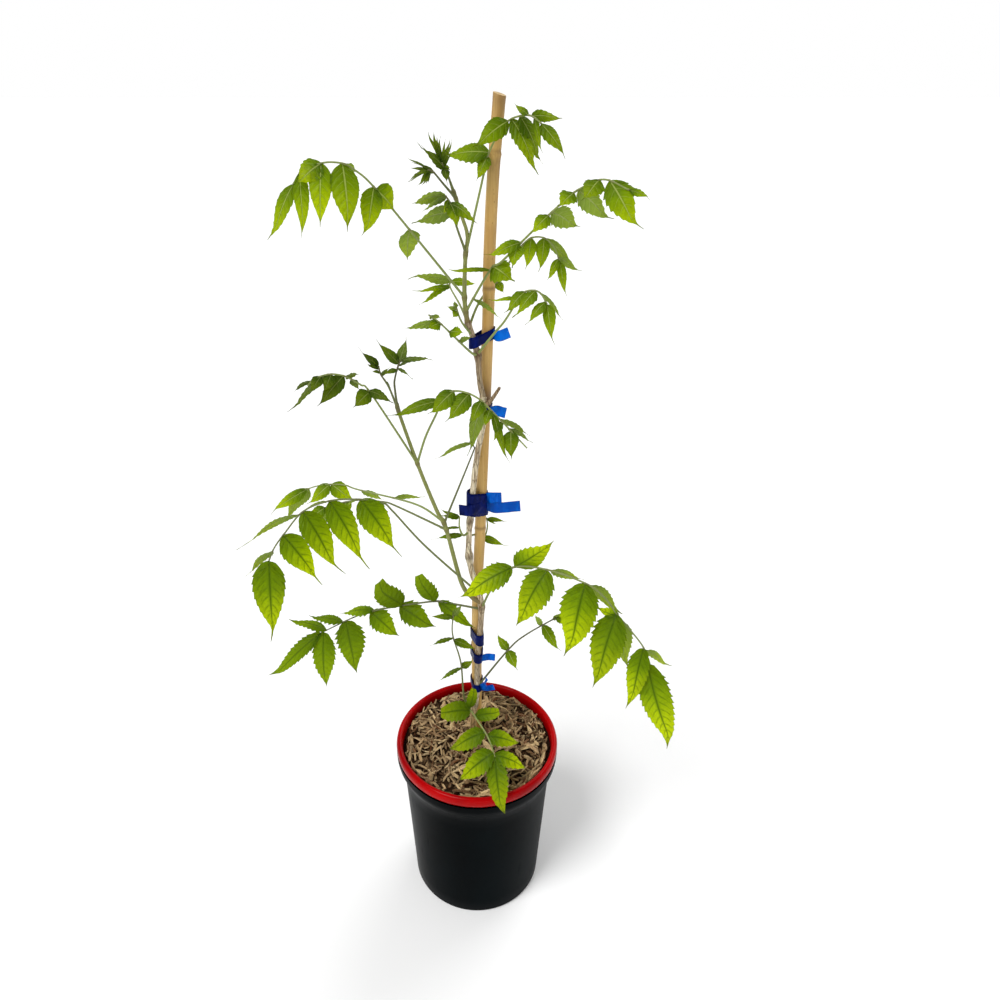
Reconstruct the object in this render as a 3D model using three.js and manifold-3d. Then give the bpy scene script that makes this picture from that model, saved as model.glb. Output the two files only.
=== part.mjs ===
// A young trumpet vine on a bamboo stake, in a black nursery pot with a red inner pot.
// Millimetres, +Z up, origin at the middle of the pot's foot. +Y points away from the viewer.
import * as THREE from 'three';
import { mergeVertices } from 'three/addons/utils/BufferGeometryUtils.js';
import Module from 'manifold-3d';

const wasm = await Module();
wasm.setup();

// Clearance between two pieces that touch
const GAP = 0.3;

// Pots
const POT_SEGMENTS = 24;
const FOOT_RADIUS = 81;
const FOOT_EDGE = 1.5;
const WALL_TOP_RADIUS = 92;
const WALL_TOP = 170;
const LIP_RADIUS = 100;
const LIP_TOP = 203.4;
// Outside of the black pot between its wall and its lip, as [radius, z], and the same inside
const FLARE_OUTSIDE = [[94.4, 181], [98.4, 189.5], [100, 196]];
const FLARE_INSIDE = [[97.8, 196], [96.3, 190.8], [92.4, 182.4]];
const POT_WALL = 2;
const FLOOR_THICKNESS = 3;
const LINER_WALL = 1.6;
const LINER_PLAY = 0.5;
const BEAD_TOP = 216.5;
const BEAD_INNER_RADIUS = 92.6;
// Where the inner pot's wall, flared along the black pot's, meets the bead, as [radius, z]
const LINER_SHOULDER = [94.6, 199];
const DRAIN_HOLES = 4;
const DRAIN_HOLE_RADIUS = 6;
const DRAIN_CIRCLE_RADIUS = 52;
const DRAIN_HOLE_SIDES = 10;
// Height that the drain holes are cut to, above both floors
const DRAIN_CUT_TOP = 10;

// Filling
const MIX_TOP = 187;
// The bed widens from the potting mix up to this height
const BARK_WIDE_FROM = 199;
const BARK_BED_TOP = 205;
const CHIP_COUNT = 38;
const CHIP_SEED = 7;
const CHIP_SHORTEST = 19;
const CHIP_LONGEST = 40;
const CHIP_NARROWEST = 8;
const CHIP_WIDEST = 13;
const CHIP_THICKNESS = 3.4;
// How far a chip's ends are cut askew, and its tilts across and along, in radians
const CHIP_SKEW = 0.9;
const CHIP_ROLL = 0.5;
const CHIP_PITCH = 0.45;
// Height of the chips' middles over the bed
const CHIP_LOWEST = 0.3;
const CHIP_HIGHEST = 2.3;
const CHIP_EDGE_MARGIN = 7;
// How far the chips are trimmed inside the bed's side and bottom
const CHIP_INSET = 0.6;
const GOLDEN_ANGLE = Math.PI * (3 - Math.sqrt(5));

// Bamboo stake, as [x, z] of its axis
const STAKE_DEPTH = 20;
const STAKE_AXIS = [[0, 51], [0, 378], [4, 513], [11, 740], [12, 805], [15, 881], [20, 949]];
const STAKE_RADII = [6.2, 5.8];
const STAKE_KNOTS = [170, 345, 505, 648, 775, 900];
const STAKE_KNOT_RISE = 0.45;
const STAKE_KNOT_REACH = 12;
const STAKE_SIDES = 10;
const STAKE_STEPS = 22;

// Woody trunk and the green shoots that it carries
const TRUNK_ROUTE = [
  [-4, 7, 132], [-4, 6, 196], [-4, 6, 249], [0, 7, 283], [1, 8, 334], [5, 9, 391], [4, 9, 418],
  [-7, 9, 460], [-9, 9, 498], [-4, 9, 561], [1, 9, 605], [8, 9, 650], [3, 9, 683], [0, 9, 715], [-9, 10, 745],
];
const TRUNK_RADII = [3.9, 2.8];
const TRUNK_NODES = [262, 405, 474, 520, 652, 712, 748];
const TRUNK_NODE_RISE = 0.9;
const TRUNK_NODE_REACH = 14;
const TRUNK_SIDES = 7;
const TRUNK_STEPS = 27;
const DEAD_STUB = [[7, 8, 655], [14, 4, 664], [23, 0, 680]];
const DEAD_STUB_RADII = [2.5, 1.6];
const CUT_STUB = [[5, 9, 657], [8, 6, 667]];
const CUT_STUB_RADII = [2.6, 2.4];
const SIDE_SHOOT_ROUTE = [
  [4, 9, 412], [-6, 5, 422], [-18, 2, 445], [-34, -2, 518], [-43, -4, 540], [-61, -10, 597],
  [-78, -13, 657], [-80, -13, 668],
];
const SIDE_SHOOT_RADII = [2.6, 1.7];
const SIDE_SHOOT_STEPS = 14;
const UPPER_SHOOT_ROUTE = [
  [-9, 10, 742], [-12, 10, 768], [-11, 9, 808], [-9, 9, 829], [-15, 9, 849], [-22, 9, 870],
];
const UPPER_SHOOT_RADII = [2.4, 1.5];
const UPPER_SHOOT_STEPS = 8;
const SHOOT_SIDES = 6;

// Leaf blades
const BLADE_THICKNESS = 0.75;
const BLADE_ARCH = 0.09;
const BLADE_FOLD = 0.2;
const BLADE_OUTWARD = 1.2;
const STALK_RADII = [1.35, 0.8];
const STALK_SIDES = 3;
const STALK_STEP_LENGTH = 26;
const STALK_MIN_STEPS = 3;
const STALK_MAX_STEPS = 9;
// Places along the rib, from 0 to 1: the first tooth, a lone tooth, and the notch past each tooth
const FIRST_TOOTH = 0.2;
const LONE_TOOTH = 0.32;
const NOTCH_STEP = 0.07;
const TOOTH_RISE = 1.1;
const NOTCH_DROP = 0.9;
const SMOOTH_LEAFLET_WIDEST = 0.35;
// A leaflet gains a tooth on each side at each of these widths
const TOOTH_STEPS = [9, 14, 20, 28];

// Each leaf: the stem that carries it, its stalk's points, and its leaflets as
// [place along the stalk from 0 to 1, x, y and z from the leaflet's base to its tip, width, and a turn
// about its own rib in degrees where it has one].
const LEAVES = {
  leaf_upper_left: {
    on: 'upper_shoot',
    stalk: [
      [-12, 10, 769], [-56, -16, 832], [-89, -36, 878], [-103, -42, 892], [-113, -46, 898],
      [-128, -50, 899], [-146, -52, 893], [-155, -52, 882],
    ],
    leaflets: [
      [0.4, -4, 14, -30, 21], [0.62, 12, 12, -19, 20, 30], [0.63, -9, -16, -40, 19], [0.77, 7, 16, -8, 9],
      [0.78, 5, -22, -53, 24], [0.86, -2, -20, -49, 19], [0.86, -18, -10, -15, 20], [0.95, 2, -14, -51, 13],
      [0.92, -13, 12, -13, 6], [1, -21, -10, -46, 14],
    ],
  },
  leaf_top_right: {
    on: 'upper_shoot',
    stalk: [
      [-10, 9, 811], [6, 8, 883], [9, 7, 898], [16, 6, 913], [23, 4, 925], [29, 0, 930], [36, -6, 933],
      [46, -16, 934], [55, -22, 928],
    ],
    leaflets: [
      [0.55, -10, -8, -21, 12], [0.57, -43, 14, -6, 17], [0.765, -24, -12, -18, 18, -20],
      [0.79, 26, -16, -44, 17, 98], [0.85, 22, 14, -41, 16, 95], [0.91, -12, 8, 9, 6],
      [0.93, 28, 14, -2, 11, 85], [0.95, 9, -8, -28, 6], [1, 20, -10, -28, 13, 101],
    ],
  },
  leaf_top_hanging: {
    on: 'upper_shoot',
    stalk: [[-11, 6, 814], [-16, 1, 830], [-20, -6, 844], [-23, -12, 859], [-28, -15, 868]],
    leaflets: [
      [0.72, -37, -12, -7, 19, 27], [0.87, 25, -3, -17, 15], [0.89, 9, -12, -22, 14],
      [0.93, -4, -8, -12, 5], [0.97, -22, -10, -10, 9], [1, -31, -8, -6, 18],
    ],
  },
  leaf_upper_right: {
    on: 'upper_shoot',
    stalk: [
      [-9, 8, 756], [13, 4, 798], [24, 0, 807], [64, -30, 854], [74, -40, 865], [86, -48, 877],
      [105, -62, 887], [125, -74, 880],
    ],
    leaflets: [
      [0.07, 29, -4, -20, 8], [0.22, -43, -4, 0, 5], [0.24, 21, -14, -10, 24], [0.4, -5, -14, -18, 16],
      [0.42, -34, -6, -11, 12, -16], [0.6, -17, -8, -15, 14, -17], [0.62, 24, 10, -13, 18, -43],
      [0.75, -14, -12, -10, 16, -16], [0.77, 30, -14, -23, 19, -34], [0.87, -15, -14, -15, 18, -18],
      [0.915, 26, -20, -37, 23], [0.93, 27, -5, -10, 5], [1, 17, -4, -7, 7, 98],
    ],
  },
  leaf_behind_stake: {
    on: 'trunk',
    stalk: [
      [-5, 13, 742], [-1, 22, 755], [5, 30, 764], [12, 34, 771], [21, 36, 780], [35, 42, 801],
      [46, 46, 814], [55, 48, 820], [67, 50, 819], [77, 50, 810], [83, 48, 796],
    ],
    leaflets: [
      [0.36, 8, -6, -9, 10], [0.65, -7, 8, -21, 12], [0.72, -5, -10, -30, 13], [0.81, -5, -8, -32, 14],
      [0.82, 35, 12, -32, 12], [0.97, 24, 6, -16, 10, -24], [0.98, -12, -6, -21, 9], [1, 8, -6, -34, 9],
    ],
  },
  leaf_right_of_tie: {
    on: 'trunk',
    stalk: [
      [3, 4, 712], [9, -2, 727], [19, -6, 741], [27, -12, 753], [40, -26, 779], [47, -30, 786],
      [57, -36, 786], [64, -40, 776],
    ],
    leaflets: [
      [0.69, -28, -2, -2, 5], [0.77, -20, -10, -18, 13], [0.86, -20, -12, -23, 14], [0.9, 26, 12, -30, 7],
      [0.98, -19, -10, -19, 11], [1, 9, -10, -35, 12],
    ],
  },
  leaf_left_of_tie: {
    on: 'trunk',
    stalk: [[-1, 6, 712], [-7, 0, 718], [-35, -12, 750], [-46, -14, 759]],
    leaflets: [
      [0.42, 13, 6, 3, 6, -18], [0.62, 12, -8, 0, 11], [0.78, -38, -6, -1, 8, 16], [0.81, -10, -8, -3, 9],
      [0.97, 9, 8, -4, 8],
    ],
  },
  leaf_upper_back: {
    on: 'trunk',
    stalk: [[-8, 15, 736], [-16, 26, 756], [-27, 42, 772], [-26, 46, 777]],
    leaflets: [
      [0.88, -37, -12, -2, 7, -24], [0.93, -30, -12, -19, 10, -33], [0.99, 27, 10, -4, 10],
      [1, -43, -8, 4, 14, 23],
    ],
  },
  bud_upper: {
    on: 'trunk',
    stalk: [[-8, 8, 731], [-15, 1, 748], [-20, -2, 763]],
    leaflets: [[0.88, -5, -4, -5, 7], [0.94, -9, -3, 4, 7], [1, -1, 3, 6, 6]],
  },
  leaf_middle_left: {
    on: 'side_shoot',
    stalk: [
      [-62, -10, 599], [-102, -34, 686], [-111, -38, 697], [-125, -44, 708], [-138, -50, 712],
      [-151, -54, 709], [-158, -56, 703],
    ],
    leaflets: [
      [0.59, -14, -12, -10, 14], [0.6, 23, -10, -7, 8], [0.73, 6, 8, -14, 5], [0.765, 9, 10, -1, 9],
      [0.78, -26, -12, -26, 15], [0.85, -7, -10, -14, 8], [0.87, -40, -8, -35, 12], [0.91, -8, -12, -11, 8],
      [0.96, -23, 8, -15, 7],
    ],
  },
  shoot_tip_right: {
    on: 'side_shoot',
    stalk: [[-80, -13, 664], [-81, -14, 681], [-81, -16, 693], [-77, -18, 708], [-74, -19, 715]],
    leaflets: [
      [0.8, -16, -6, -3, 6], [0.92, -21, 5, 25, 10], [0.84, 15, -5, -10, 8], [0.96, 6, 4, 26, 10],
      [1, 34, -6, 1, 10], [0.88, 27, 6, 7, 6],
    ],
  },
  shoot_tip_left: {
    on: 'side_shoot',
    stalk: [[-80, -12, 660], [-88, -5, 682], [-96, -2, 695], [-98, 0, 703]],
    leaflets: [
      [0.69, 7, 5, -17, 4], [0.8, 9, 4, 8, 6], [1, -20, 4, 18, 8], [0.94, -12, -3, 6, 5],
      [0.87, -7, -5, 3, 5],
    ],
  },
  leaf_over_stake: {
    on: 'side_shoot',
    stalk: [
      [-61, -10, 600], [-52, -16, 633], [-39, -24, 664], [-35, -27, 678], [-28, -30, 686],
      [-16, -34, 689], [0, -38, 684], [15, -42, 671], [49, -48, 635],
    ],
    leaflets: [
      [0.42, -53, -4, -16, 13], [0.52, -25, -10, -22, 19], [0.6, -23, -12, -25, 19],
      [0.67, -11, -12, -20, 13], [0.68, -20, 10, -61, 15], [0.73, -6, -10, -15, 9], [0.745, 18, -8, -52, 8],
      [0.8, 31, 10, -22, 11], [0.815, -9, -8, -19, 7], [0.86, 26, 8, -19, 9], [0.88, 1, -10, -27, 16],
    ],
  },
  leaf_single: {
    on: 'side_shoot',
    stalk: [[-33, 0, 524], [-5, -8, 609], [-3, -9, 618], [-7, -10, 625]],
    leaflets: [[0.98, -38, -6, -14, 8, 17], [1, 5, 3, 6, 4, -18]],
  },
  leaf_back_left: {
    on: 'side_shoot',
    stalk: [
      [-37, 6, 527], [-69, 26, 532], [-135, 54, 535], [-151, 58, 539], [-169, 62, 538],
      [-184, 64, 535], [-199, 66, 529],
    ],
    leaflets: [
      [0.39, 35, 8, -4, 9, -22], [0.61, 25, 10, -18, 13, -22], [0.82, 28, -10, -16, 19],
      [0.83, -26, -10, -22, 16], [0.98, -38, 10, -49, 19], [0.99, -43, -6, -32, 15],
    ],
  },
  leaf_back_small: {
    on: 'side_shoot',
    stalk: [
      [-34, 2, 514], [-89, 16, 535], [-104, 20, 538], [-130, 26, 537], [-153, 30, 531],
      [-171, 32, 524],
    ],
    leaflets: [
      [0.52, -22, -8, -34, 10], [0.83, 5, -8, -13, 13], [0.91, -6, -8, -35, 18], [0.95, -35, 8, -48, 16],
      [1, -23, -10, -14, 15],
    ],
  },
  leaf_front_left: {
    on: 'trunk',
    stalk: [
      [-9, 6, 421], [-54, -30, 511], [-84, -54, 567], [-94, -60, 581], [-116, -70, 590], [-141, -80, 594],
      [-166, -88, 587], [-185, -94, 566], [-196, -96, 551], [-202, -98, 538],
    ],
    leaflets: [
      [0.65, 41, -16, -55, 29], [0.66, -16, 14, -19, 6], [0.74, 39, -16, -66, 26], [0.74, -35, 14, -22, 7],
      [0.82, 38, -16, -62, 27], [0.83, -72, 18, -52, 12], [0.91, 39, -14, -46, 26], [0.97, -33, 10, -36, 12],
      [1, -6, -16, -87, 31],
    ],
  },
  leaf_lower_left: {
    on: 'trunk',
    stalk: [[-6, 13, 402], [-34, 22, 401], [-58, 30, 397], [-135, 48, 368], [-196, 58, 330]],
    leaflets: [
      [0.24, 45, -28, -16, 16], [0.26, -17, -12, 45, 20], [0.45, -26, -14, 36, 24],
      [0.47, 44, -14, -21, 27], [0.63, -44, 12, -12, 14, -57], [0.65, 36, -14, -25, 26],
      [0.82, 16, -18, -67, 34], [0.84, -46, 10, 0, 16, -56], [0.96, -48, 10, 10, 16, -53],
      [0.98, -1, -14, -78, 29], [1, -71, -8, -64, 19],
    ],
  },
  leaf_front_right: {
    on: 'trunk',
    stalk: [
      [0, 2, 403], [17, -12, 446], [38, -26, 482], [72, -44, 492], [114, -64, 487], [134, -72, 473],
      [146, -78, 458], [173, -86, 425], [180, -88, 403],
    ],
    leaflets: [
      [0.32, -60, -14, -27, 28], [0.335, 37, -12, 33, 21, -17], [0.465, -35, -18, -59, 35],
      [0.48, 36, 12, -20, 9, -39], [0.61, -16, -22, -79, 38], [0.62, 39, 14, -43, 16, -27],
      [0.765, -21, -22, -81, 35], [0.78, -21, 10, 5, 9, 40], [0.8, 10, 16, -76, 18],
      [0.93, -13, -16, -69, 22], [0.94, 33, 10, -30, 10, -27], [1, 25, -16, -104, 32],
    ],
  },
  leaf_over_rim: {
    on: 'trunk',
    stalk: [[-4, 6, 258], [-12, -2, 268], [-3, -28, 275], [13, -56, 268], [21, -72, 254]],
    leaflets: [
      [0.28, 6, 14, 18, 13, -46], [0.34, -35, -2, 6, 21], [0.46, 29, 4, 3, 17, 44],
      [0.7, -42, -4, -20, 23], [0.75, 37, -2, -7, 19, 53], [0.95, -40, -8, -32, 26, -16],
      [0.97, 37, -6, -12, 18, 52], [1, 12, -36, -49, 25, -22],
    ],
  },
  basal_shoot_left: {
    on: 'trunk',
    stalk: [[-4, 6, 262], [-15, 0, 275], [-19, -6, 336], [-28, -10, 380], [-27, -12, 409]],
    leaflets: [
      [0.47, 14, 4, 10, 9], [0.47, -29, -6, -16, 11, -26], [0.76, 27, -4, -10, 10],
      [0.78, -28, -6, -6, 10, -40], [0.98, -27, -4, 5, 7], [0.99, 10, 4, 14, 7],
    ],
  },
  basal_shoot_right: {
    on: 'trunk',
    stalk: [[0, 0, 288], [36, -14, 361], [55, -20, 387], [88, -30, 419]],
    leaflets: [
      [0.51, -12, 6, 21, 10, 15], [0.51, 13, -8, -22, 13], [0.87, -8, 6, 11, 9, 18],
      [0.88, 22, -8, -30, 12], [0.97, 11, 4, 6, 8, -22], [1, 13, -4, -6, 7],
    ],
  },
  top_tip: {
    on: 'upper_shoot',
    stalk: [[-22, 9, 868], [-27, 9, 884], [-32, 8, 894]],
    leaflets: [
      [0.8, -6, -8, -15, 9], [0.67, 6, -4, -4, 5], [0.78, -23, -8, 22, 12], [0.85, 7, -8, 14, 5],
      [0.91, 9, -4, 22, 5], [0.96, -8, -3, 28, 6], [1, -1, 6, 22, 5],
    ],
  },
  top_side_tip: {
    on: 'upper_shoot',
    stalk: [[-21, 8, 862], [-31, 0, 877], [-39, -5, 887], [-44, -7, 889]],
    leaflets: [
      [0.94, -4, 2, -12, 4], [0.97, -10, -4, -13, 4], [0.83, -20, 3, 10, 7], [0.89, -17, -4, 3, 4],
      [0.95, -13, -6, -2, 5], [1, -19, 4, -10, 4],
    ],
  },
  sprout_left: {
    on: 'trunk',
    stalk: [[-9, 8, 506], [-15, 2, 506], [-19, 0, 517], [-19, 1, 530]],
    leaflets: [[0.3, -37, 6, -10, 7], [0.97, -24, 12, -4, 9]],
  },
  sprout_right: {
    on: 'trunk',
    stalk: [[-8, 15, 500], [-1, 27, 492], [8, 31, 486], [12, 33, 498], [11, 32, 511]],
    leaflets: [[0.53, 32, 3, -13, 9], [0.97, 26, 3, -4, 6]],
  },
};

// Ties of blue tape: height, widths of the band and of its tails, rise to the right, play round the
// stems, and each tail's points from the knot
const TIE_THICKNESS = 0.9;
const WRAP_POINTS = 12;
const KNOT_POINT = 10;
const TIES = [
  { z: 726, band: 11, tail: 11, lean: 0.33, play: 0.75, tails: [[[22, 6, 732], [31, 4, 736]]] },
  { z: 651, band: 12, tail: 12, lean: -0.1, play: 0.4, tails: [[[20, 9, 651], [29, 6, 650]]] },
  {
    z: 540.5, band: 28, tail: 13, lean: -0.3, play: 0.5,
    tails: [[[16, 11, 548], [26, 9, 549]], [[22, 11, 535.5], [46.6, 9, 538.9]]],
  },
  { z: 360, band: 15, tail: 10, lean: -0.2, play: 0.4, tails: [] },
  { z: 333, band: 13, tail: 10, lean: -0.2, play: 0.4, tails: [[[12, 8, 333], [21, 7, 333]]] },
  {
    z: 288.5, band: 10, tail: 8, lean: -0.1, play: 0.4,
    tails: [[[10, -4, 300], [10, -6, 310]], [[13, 0, 292], [20, -3, 296]]],
  },
];

const COLORS = {
  black: { color: 0x232625, roughness: 0.45 },
  red: { color: 0xb40008, roughness: 0.35 },
  mix: { color: 0x3a2a1d, roughness: 1 },
  bark: { color: 0xa98a68, roughness: 0.9 },
  bamboo: { color: 0xd0ab68, roughness: 0.6 },
  wood: { color: 0xa08a6c, roughness: 0.9 },
  stem: { color: 0x8a9a45, roughness: 0.6 },
  leaf: { color: 0x6f9410, roughness: 0.55 },
  young: { color: 0x3f5c10, roughness: 0.55 },
  tie: { color: 0x0a3fb0, roughness: 0.4 },
};

// Repeatable draw between 0 and 1
function makeDraw(seed) {
  let state = seed;
  return () => {
    state = (state * 1664525 + 1013904223) % 4294967296;
    return state / 4294967296;
  };
}

function between(low, high, share) {
  return low + (high - low) * share;
}

// Closed geometry to solid, and back
function toSolid(geometry) {
  const bare = geometry.index ? geometry.clone() : geometry;
  bare.deleteAttribute('normal');
  bare.deleteAttribute('uv');
  const merged = mergeVertices(bare, 1e-4);
  return new wasm.Manifold(new wasm.Mesh({
    numProp: 3,
    vertProperties: new Float32Array(merged.attributes.position.array),
    triVerts: new Uint32Array(merged.index.array),
  }));
}

function toGeometry(solid) {
  const mesh = solid.getMesh();
  const geometry = new THREE.BufferGeometry();
  geometry.setAttribute('position', new THREE.BufferAttribute(mesh.vertProperties, 3));
  geometry.setIndex(new THREE.BufferAttribute(mesh.triVerts, 1));
  return geometry;
}

function joinAll(solids) {
  return solids.reduce((joined, solid) => joined.add(solid));
}

// The largest piece of a solid, so that a cut leaves no loose scrap
function largest(solid) {
  return solid.decompose().sort((a, b) => b.volume() - a.volume())[0];
}

function curveThrough(points) {
  const vectors = points.map((point) => new THREE.Vector3(...point));
  return new THREE.CatmullRomCurve3(vectors, false, 'catmullrom', 0.5);
}

// A closed tube: a cylinder of radius 1 bent along a curve, with its radius given at each place
function tube(curve, radiusAt, sides, steps) {
  const geometry = new THREE.CylinderGeometry(1, 1, 1, sides, steps);
  const frames = curve.computeFrenetFrames(steps);
  const position = geometry.attributes.position;
  for (let i = 0; i < position.count; i += 1) {
    const u = position.getY(i) + 0.5;
    const station = Math.round(u * steps);
    const point = curve.getPointAt(u);
    const radius = radiusAt(u, point);
    point.addScaledVector(frames.normals[station], position.getX(i) * radius);
    point.addScaledVector(frames.binormals[station], -position.getZ(i) * radius);
    position.setXYZ(i, point.x, point.y, point.z);
  }
  return toSolid(geometry);
}

function taper([from, to], extra) {
  return (u) => between(from, to, u) + extra;
}

// A rise of the radius near each given height
function withKnots(radiusAt, heights, rise, reach) {
  return (u, point) => {
    const bumps = heights.map((height) => Math.max(0, 1 - Math.abs(point.z - height) / reach));
    return radiusAt(u) + rise * Math.max(...bumps);
  };
}

function lathe(profile) {
  const points = profile.map(([radius, z]) => new THREE.Vector2(radius, z));
  const geometry = new THREE.LatheGeometry(points, POT_SEGMENTS);
  return toSolid(geometry.rotateX(Math.PI / 2));
}

function verticalRod(radius, x, y, bottom, top, sides) {
  const geometry = new THREE.CylinderGeometry(radius, radius, top - bottom, sides);
  return toSolid(geometry.rotateX(Math.PI / 2).translate(x, y, (top + bottom) / 2));
}

function drainHoles() {
  const holes = [];
  for (let i = 0; i < DRAIN_HOLES; i += 1) {
    const angle = (i / DRAIN_HOLES) * 2 * Math.PI;
    const x = DRAIN_CIRCLE_RADIUS * Math.cos(angle);
    const y = DRAIN_CIRCLE_RADIUS * Math.sin(angle);
    holes.push(verticalRod(DRAIN_HOLE_RADIUS, x, y, -1, DRAIN_CUT_TOP, DRAIN_HOLE_SIDES));
  }
  return joinAll(holes);
}

// Outer radius of the black pot's wall at a height
function wallRadius(z) {
  return FOOT_RADIUS + (WALL_TOP_RADIUS - FOOT_RADIUS) * Math.min(z / WALL_TOP, 1);
}

function linerRadius(z) {
  return wallRadius(z) - POT_WALL - LINER_PLAY;
}

function fillingRadius(z) {
  return linerRadius(z) - LINER_WALL - GAP;
}

function makeBlackPot() {
  const shell = lathe([
    [0, 0], [FOOT_RADIUS - FOOT_EDGE, 0], [FOOT_RADIUS, FOOT_EDGE],
    [WALL_TOP_RADIUS, WALL_TOP], ...FLARE_OUTSIDE,
    [LIP_RADIUS + 0.6, LIP_TOP], [LIP_RADIUS - 1.6, LIP_TOP], ...FLARE_INSIDE,
    [WALL_TOP_RADIUS - POT_WALL, WALL_TOP + 1],
    [wallRadius(FLOOR_THICKNESS + 2) - POT_WALL, FLOOR_THICKNESS + 2],
    [wallRadius(0) - POT_WALL - 2, FLOOR_THICKNESS + 1], [0, FLOOR_THICKNESS + 1],
  ]);
  return shell.subtract(drainHoles());
}

function makeRedLiner() {
  const bottom = FLOOR_THICKNESS + 1 + GAP;
  const floor = bottom + LINER_WALL;
  const bead = LIP_TOP + GAP;
  const shell = lathe([
    [0, bottom], [linerRadius(0) - 3, bottom], [linerRadius(0), bottom + 3],
    [linerRadius(WALL_TOP), WALL_TOP], [linerRadius(WALL_TOP), MIX_TOP - 3], LINER_SHOULDER,
    [LINER_SHOULDER[0], bead], [LIP_RADIUS - 1.5, bead], [LIP_RADIUS, bead + 2.5], [LIP_RADIUS, BEAD_TOP - 4],
    [LIP_RADIUS - 1.6, BEAD_TOP - 1], [LIP_RADIUS - 3.4, BEAD_TOP], [LIP_RADIUS - 5.6, BEAD_TOP - 1.2],
    [BEAD_INNER_RADIUS, BEAD_TOP - 5], [LINER_SHOULDER[0] - LINER_WALL - 0.2, LINER_SHOULDER[1]],
    [linerRadius(WALL_TOP) - LINER_WALL, MIX_TOP], [linerRadius(WALL_TOP) - LINER_WALL, WALL_TOP],
    [linerRadius(floor) - LINER_WALL, floor + 2],
    [linerRadius(floor) - LINER_WALL - 2, floor], [0, floor],
  ]);
  return shell.subtract(drainHoles());
}

function makeMix(stems) {
  const bottom = FLOOR_THICKNESS + 1 + 2 * GAP + LINER_WALL;
  const block = lathe([
    [0, bottom], [fillingRadius(bottom) - 3, bottom], [fillingRadius(bottom), bottom + 3],
    [fillingRadius(MIX_TOP), MIX_TOP], [0, MIX_TOP],
  ]);
  return block.subtract(stems);
}

// One bark chip: a flat bar whose ends are cut askew
function makeChip(draw) {
  const length = between(CHIP_SHORTEST, CHIP_LONGEST, draw());
  const width = between(CHIP_NARROWEST, CHIP_WIDEST, draw());
  const geometry = new THREE.BoxGeometry(length, width, CHIP_THICKNESS);
  const position = geometry.attributes.position;
  const skew = (draw() - 0.5) * CHIP_SKEW;
  for (let i = 0; i < position.count; i += 1) {
    position.setX(i, position.getX(i) + position.getY(i) * skew * Math.sign(position.getX(i)));
  }
  geometry.rotateX((draw() - 0.5) * CHIP_ROLL);
  geometry.rotateY((draw() - 0.5) * CHIP_PITCH);
  geometry.rotateZ(draw() * Math.PI);
  return geometry;
}

// Bark chips on an even spiral over a thin bed, trimmed to the liner
function makeBark(stems) {
  const draw = makeDraw(CHIP_SEED);
  const radiusOfBed = fillingRadius(MIX_TOP);
  const rimOfBed = LINER_SHOULDER[0] - LINER_WALL - 0.2 - 2 * GAP;
  const bed = lathe([
    [0, MIX_TOP + GAP], [radiusOfBed, MIX_TOP + GAP], [rimOfBed, BARK_WIDE_FROM],
    [rimOfBed, BARK_BED_TOP], [0, BARK_BED_TOP],
  ]);
  const chips = [];
  const reach = rimOfBed - CHIP_EDGE_MARGIN;
  for (let i = 0; i < CHIP_COUNT; i += 1) {
    const radius = reach * Math.sqrt((i + 0.5) / CHIP_COUNT);
    const angle = i * GOLDEN_ANGLE;
    const height = BARK_BED_TOP + between(CHIP_LOWEST, CHIP_HIGHEST, draw());
    const chip = makeChip(draw);
    chips.push(toSolid(chip.translate(radius * Math.cos(angle), radius * Math.sin(angle), height)));
  }
  const within = rimOfBed - CHIP_INSET;
  const edge = lathe([
    [0, BARK_WIDE_FROM], [within, BARK_WIDE_FROM], [within, BEAD_TOP], [0, BEAD_TOP],
  ]);
  return largest(joinAll(chips).intersect(edge).add(bed).subtract(stems));
}

function stakeCurve() {
  return curveThrough(STAKE_AXIS.map(([x, z]) => [x, STAKE_DEPTH, z]));
}

function makeStake(extra) {
  const plain = taper(STAKE_RADII, extra);
  const radiusAt = withKnots(plain, STAKE_KNOTS, STAKE_KNOT_RISE, STAKE_KNOT_REACH);
  return tube(stakeCurve(), radiusAt, STAKE_SIDES, STAKE_STEPS);
}

function makeTrunk(extra) {
  const plain = taper(TRUNK_RADII, extra);
  const radiusAt = withKnots(plain, TRUNK_NODES, TRUNK_NODE_RISE, TRUNK_NODE_REACH);
  const stem = tube(curveThrough(TRUNK_ROUTE), radiusAt, TRUNK_SIDES, TRUNK_STEPS);
  const dead = tube(curveThrough(DEAD_STUB), taper(DEAD_STUB_RADII, extra), SHOOT_SIDES, 3);
  const cut = tube(curveThrough(CUT_STUB), taper(CUT_STUB_RADII, extra), SHOOT_SIDES, 1);
  return stem.add(dead).add(cut);
}

function makeSideShoot(extra) {
  const radiusAt = taper(SIDE_SHOOT_RADII, extra);
  return tube(curveThrough(SIDE_SHOOT_ROUTE), radiusAt, SHOOT_SIDES, SIDE_SHOOT_STEPS);
}

function makeUpperShoot(extra) {
  const radiusAt = taper(UPPER_SHOOT_RADII, extra);
  return tube(curveThrough(UPPER_SHOOT_ROUTE), radiusAt, SHOOT_SIDES, UPPER_SHOOT_STEPS);
}

// Half width of a leaflet, as a share of its widest, at t along its rib: egg-shaped with a long point
function halfWidth(t) {
  return 4.02 * Math.pow(t, 0.75) * Math.pow(1 - t, 1.4);
}

function toothCount(width) {
  return TOOTH_STEPS.filter((limit) => width >= limit).length;
}

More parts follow.
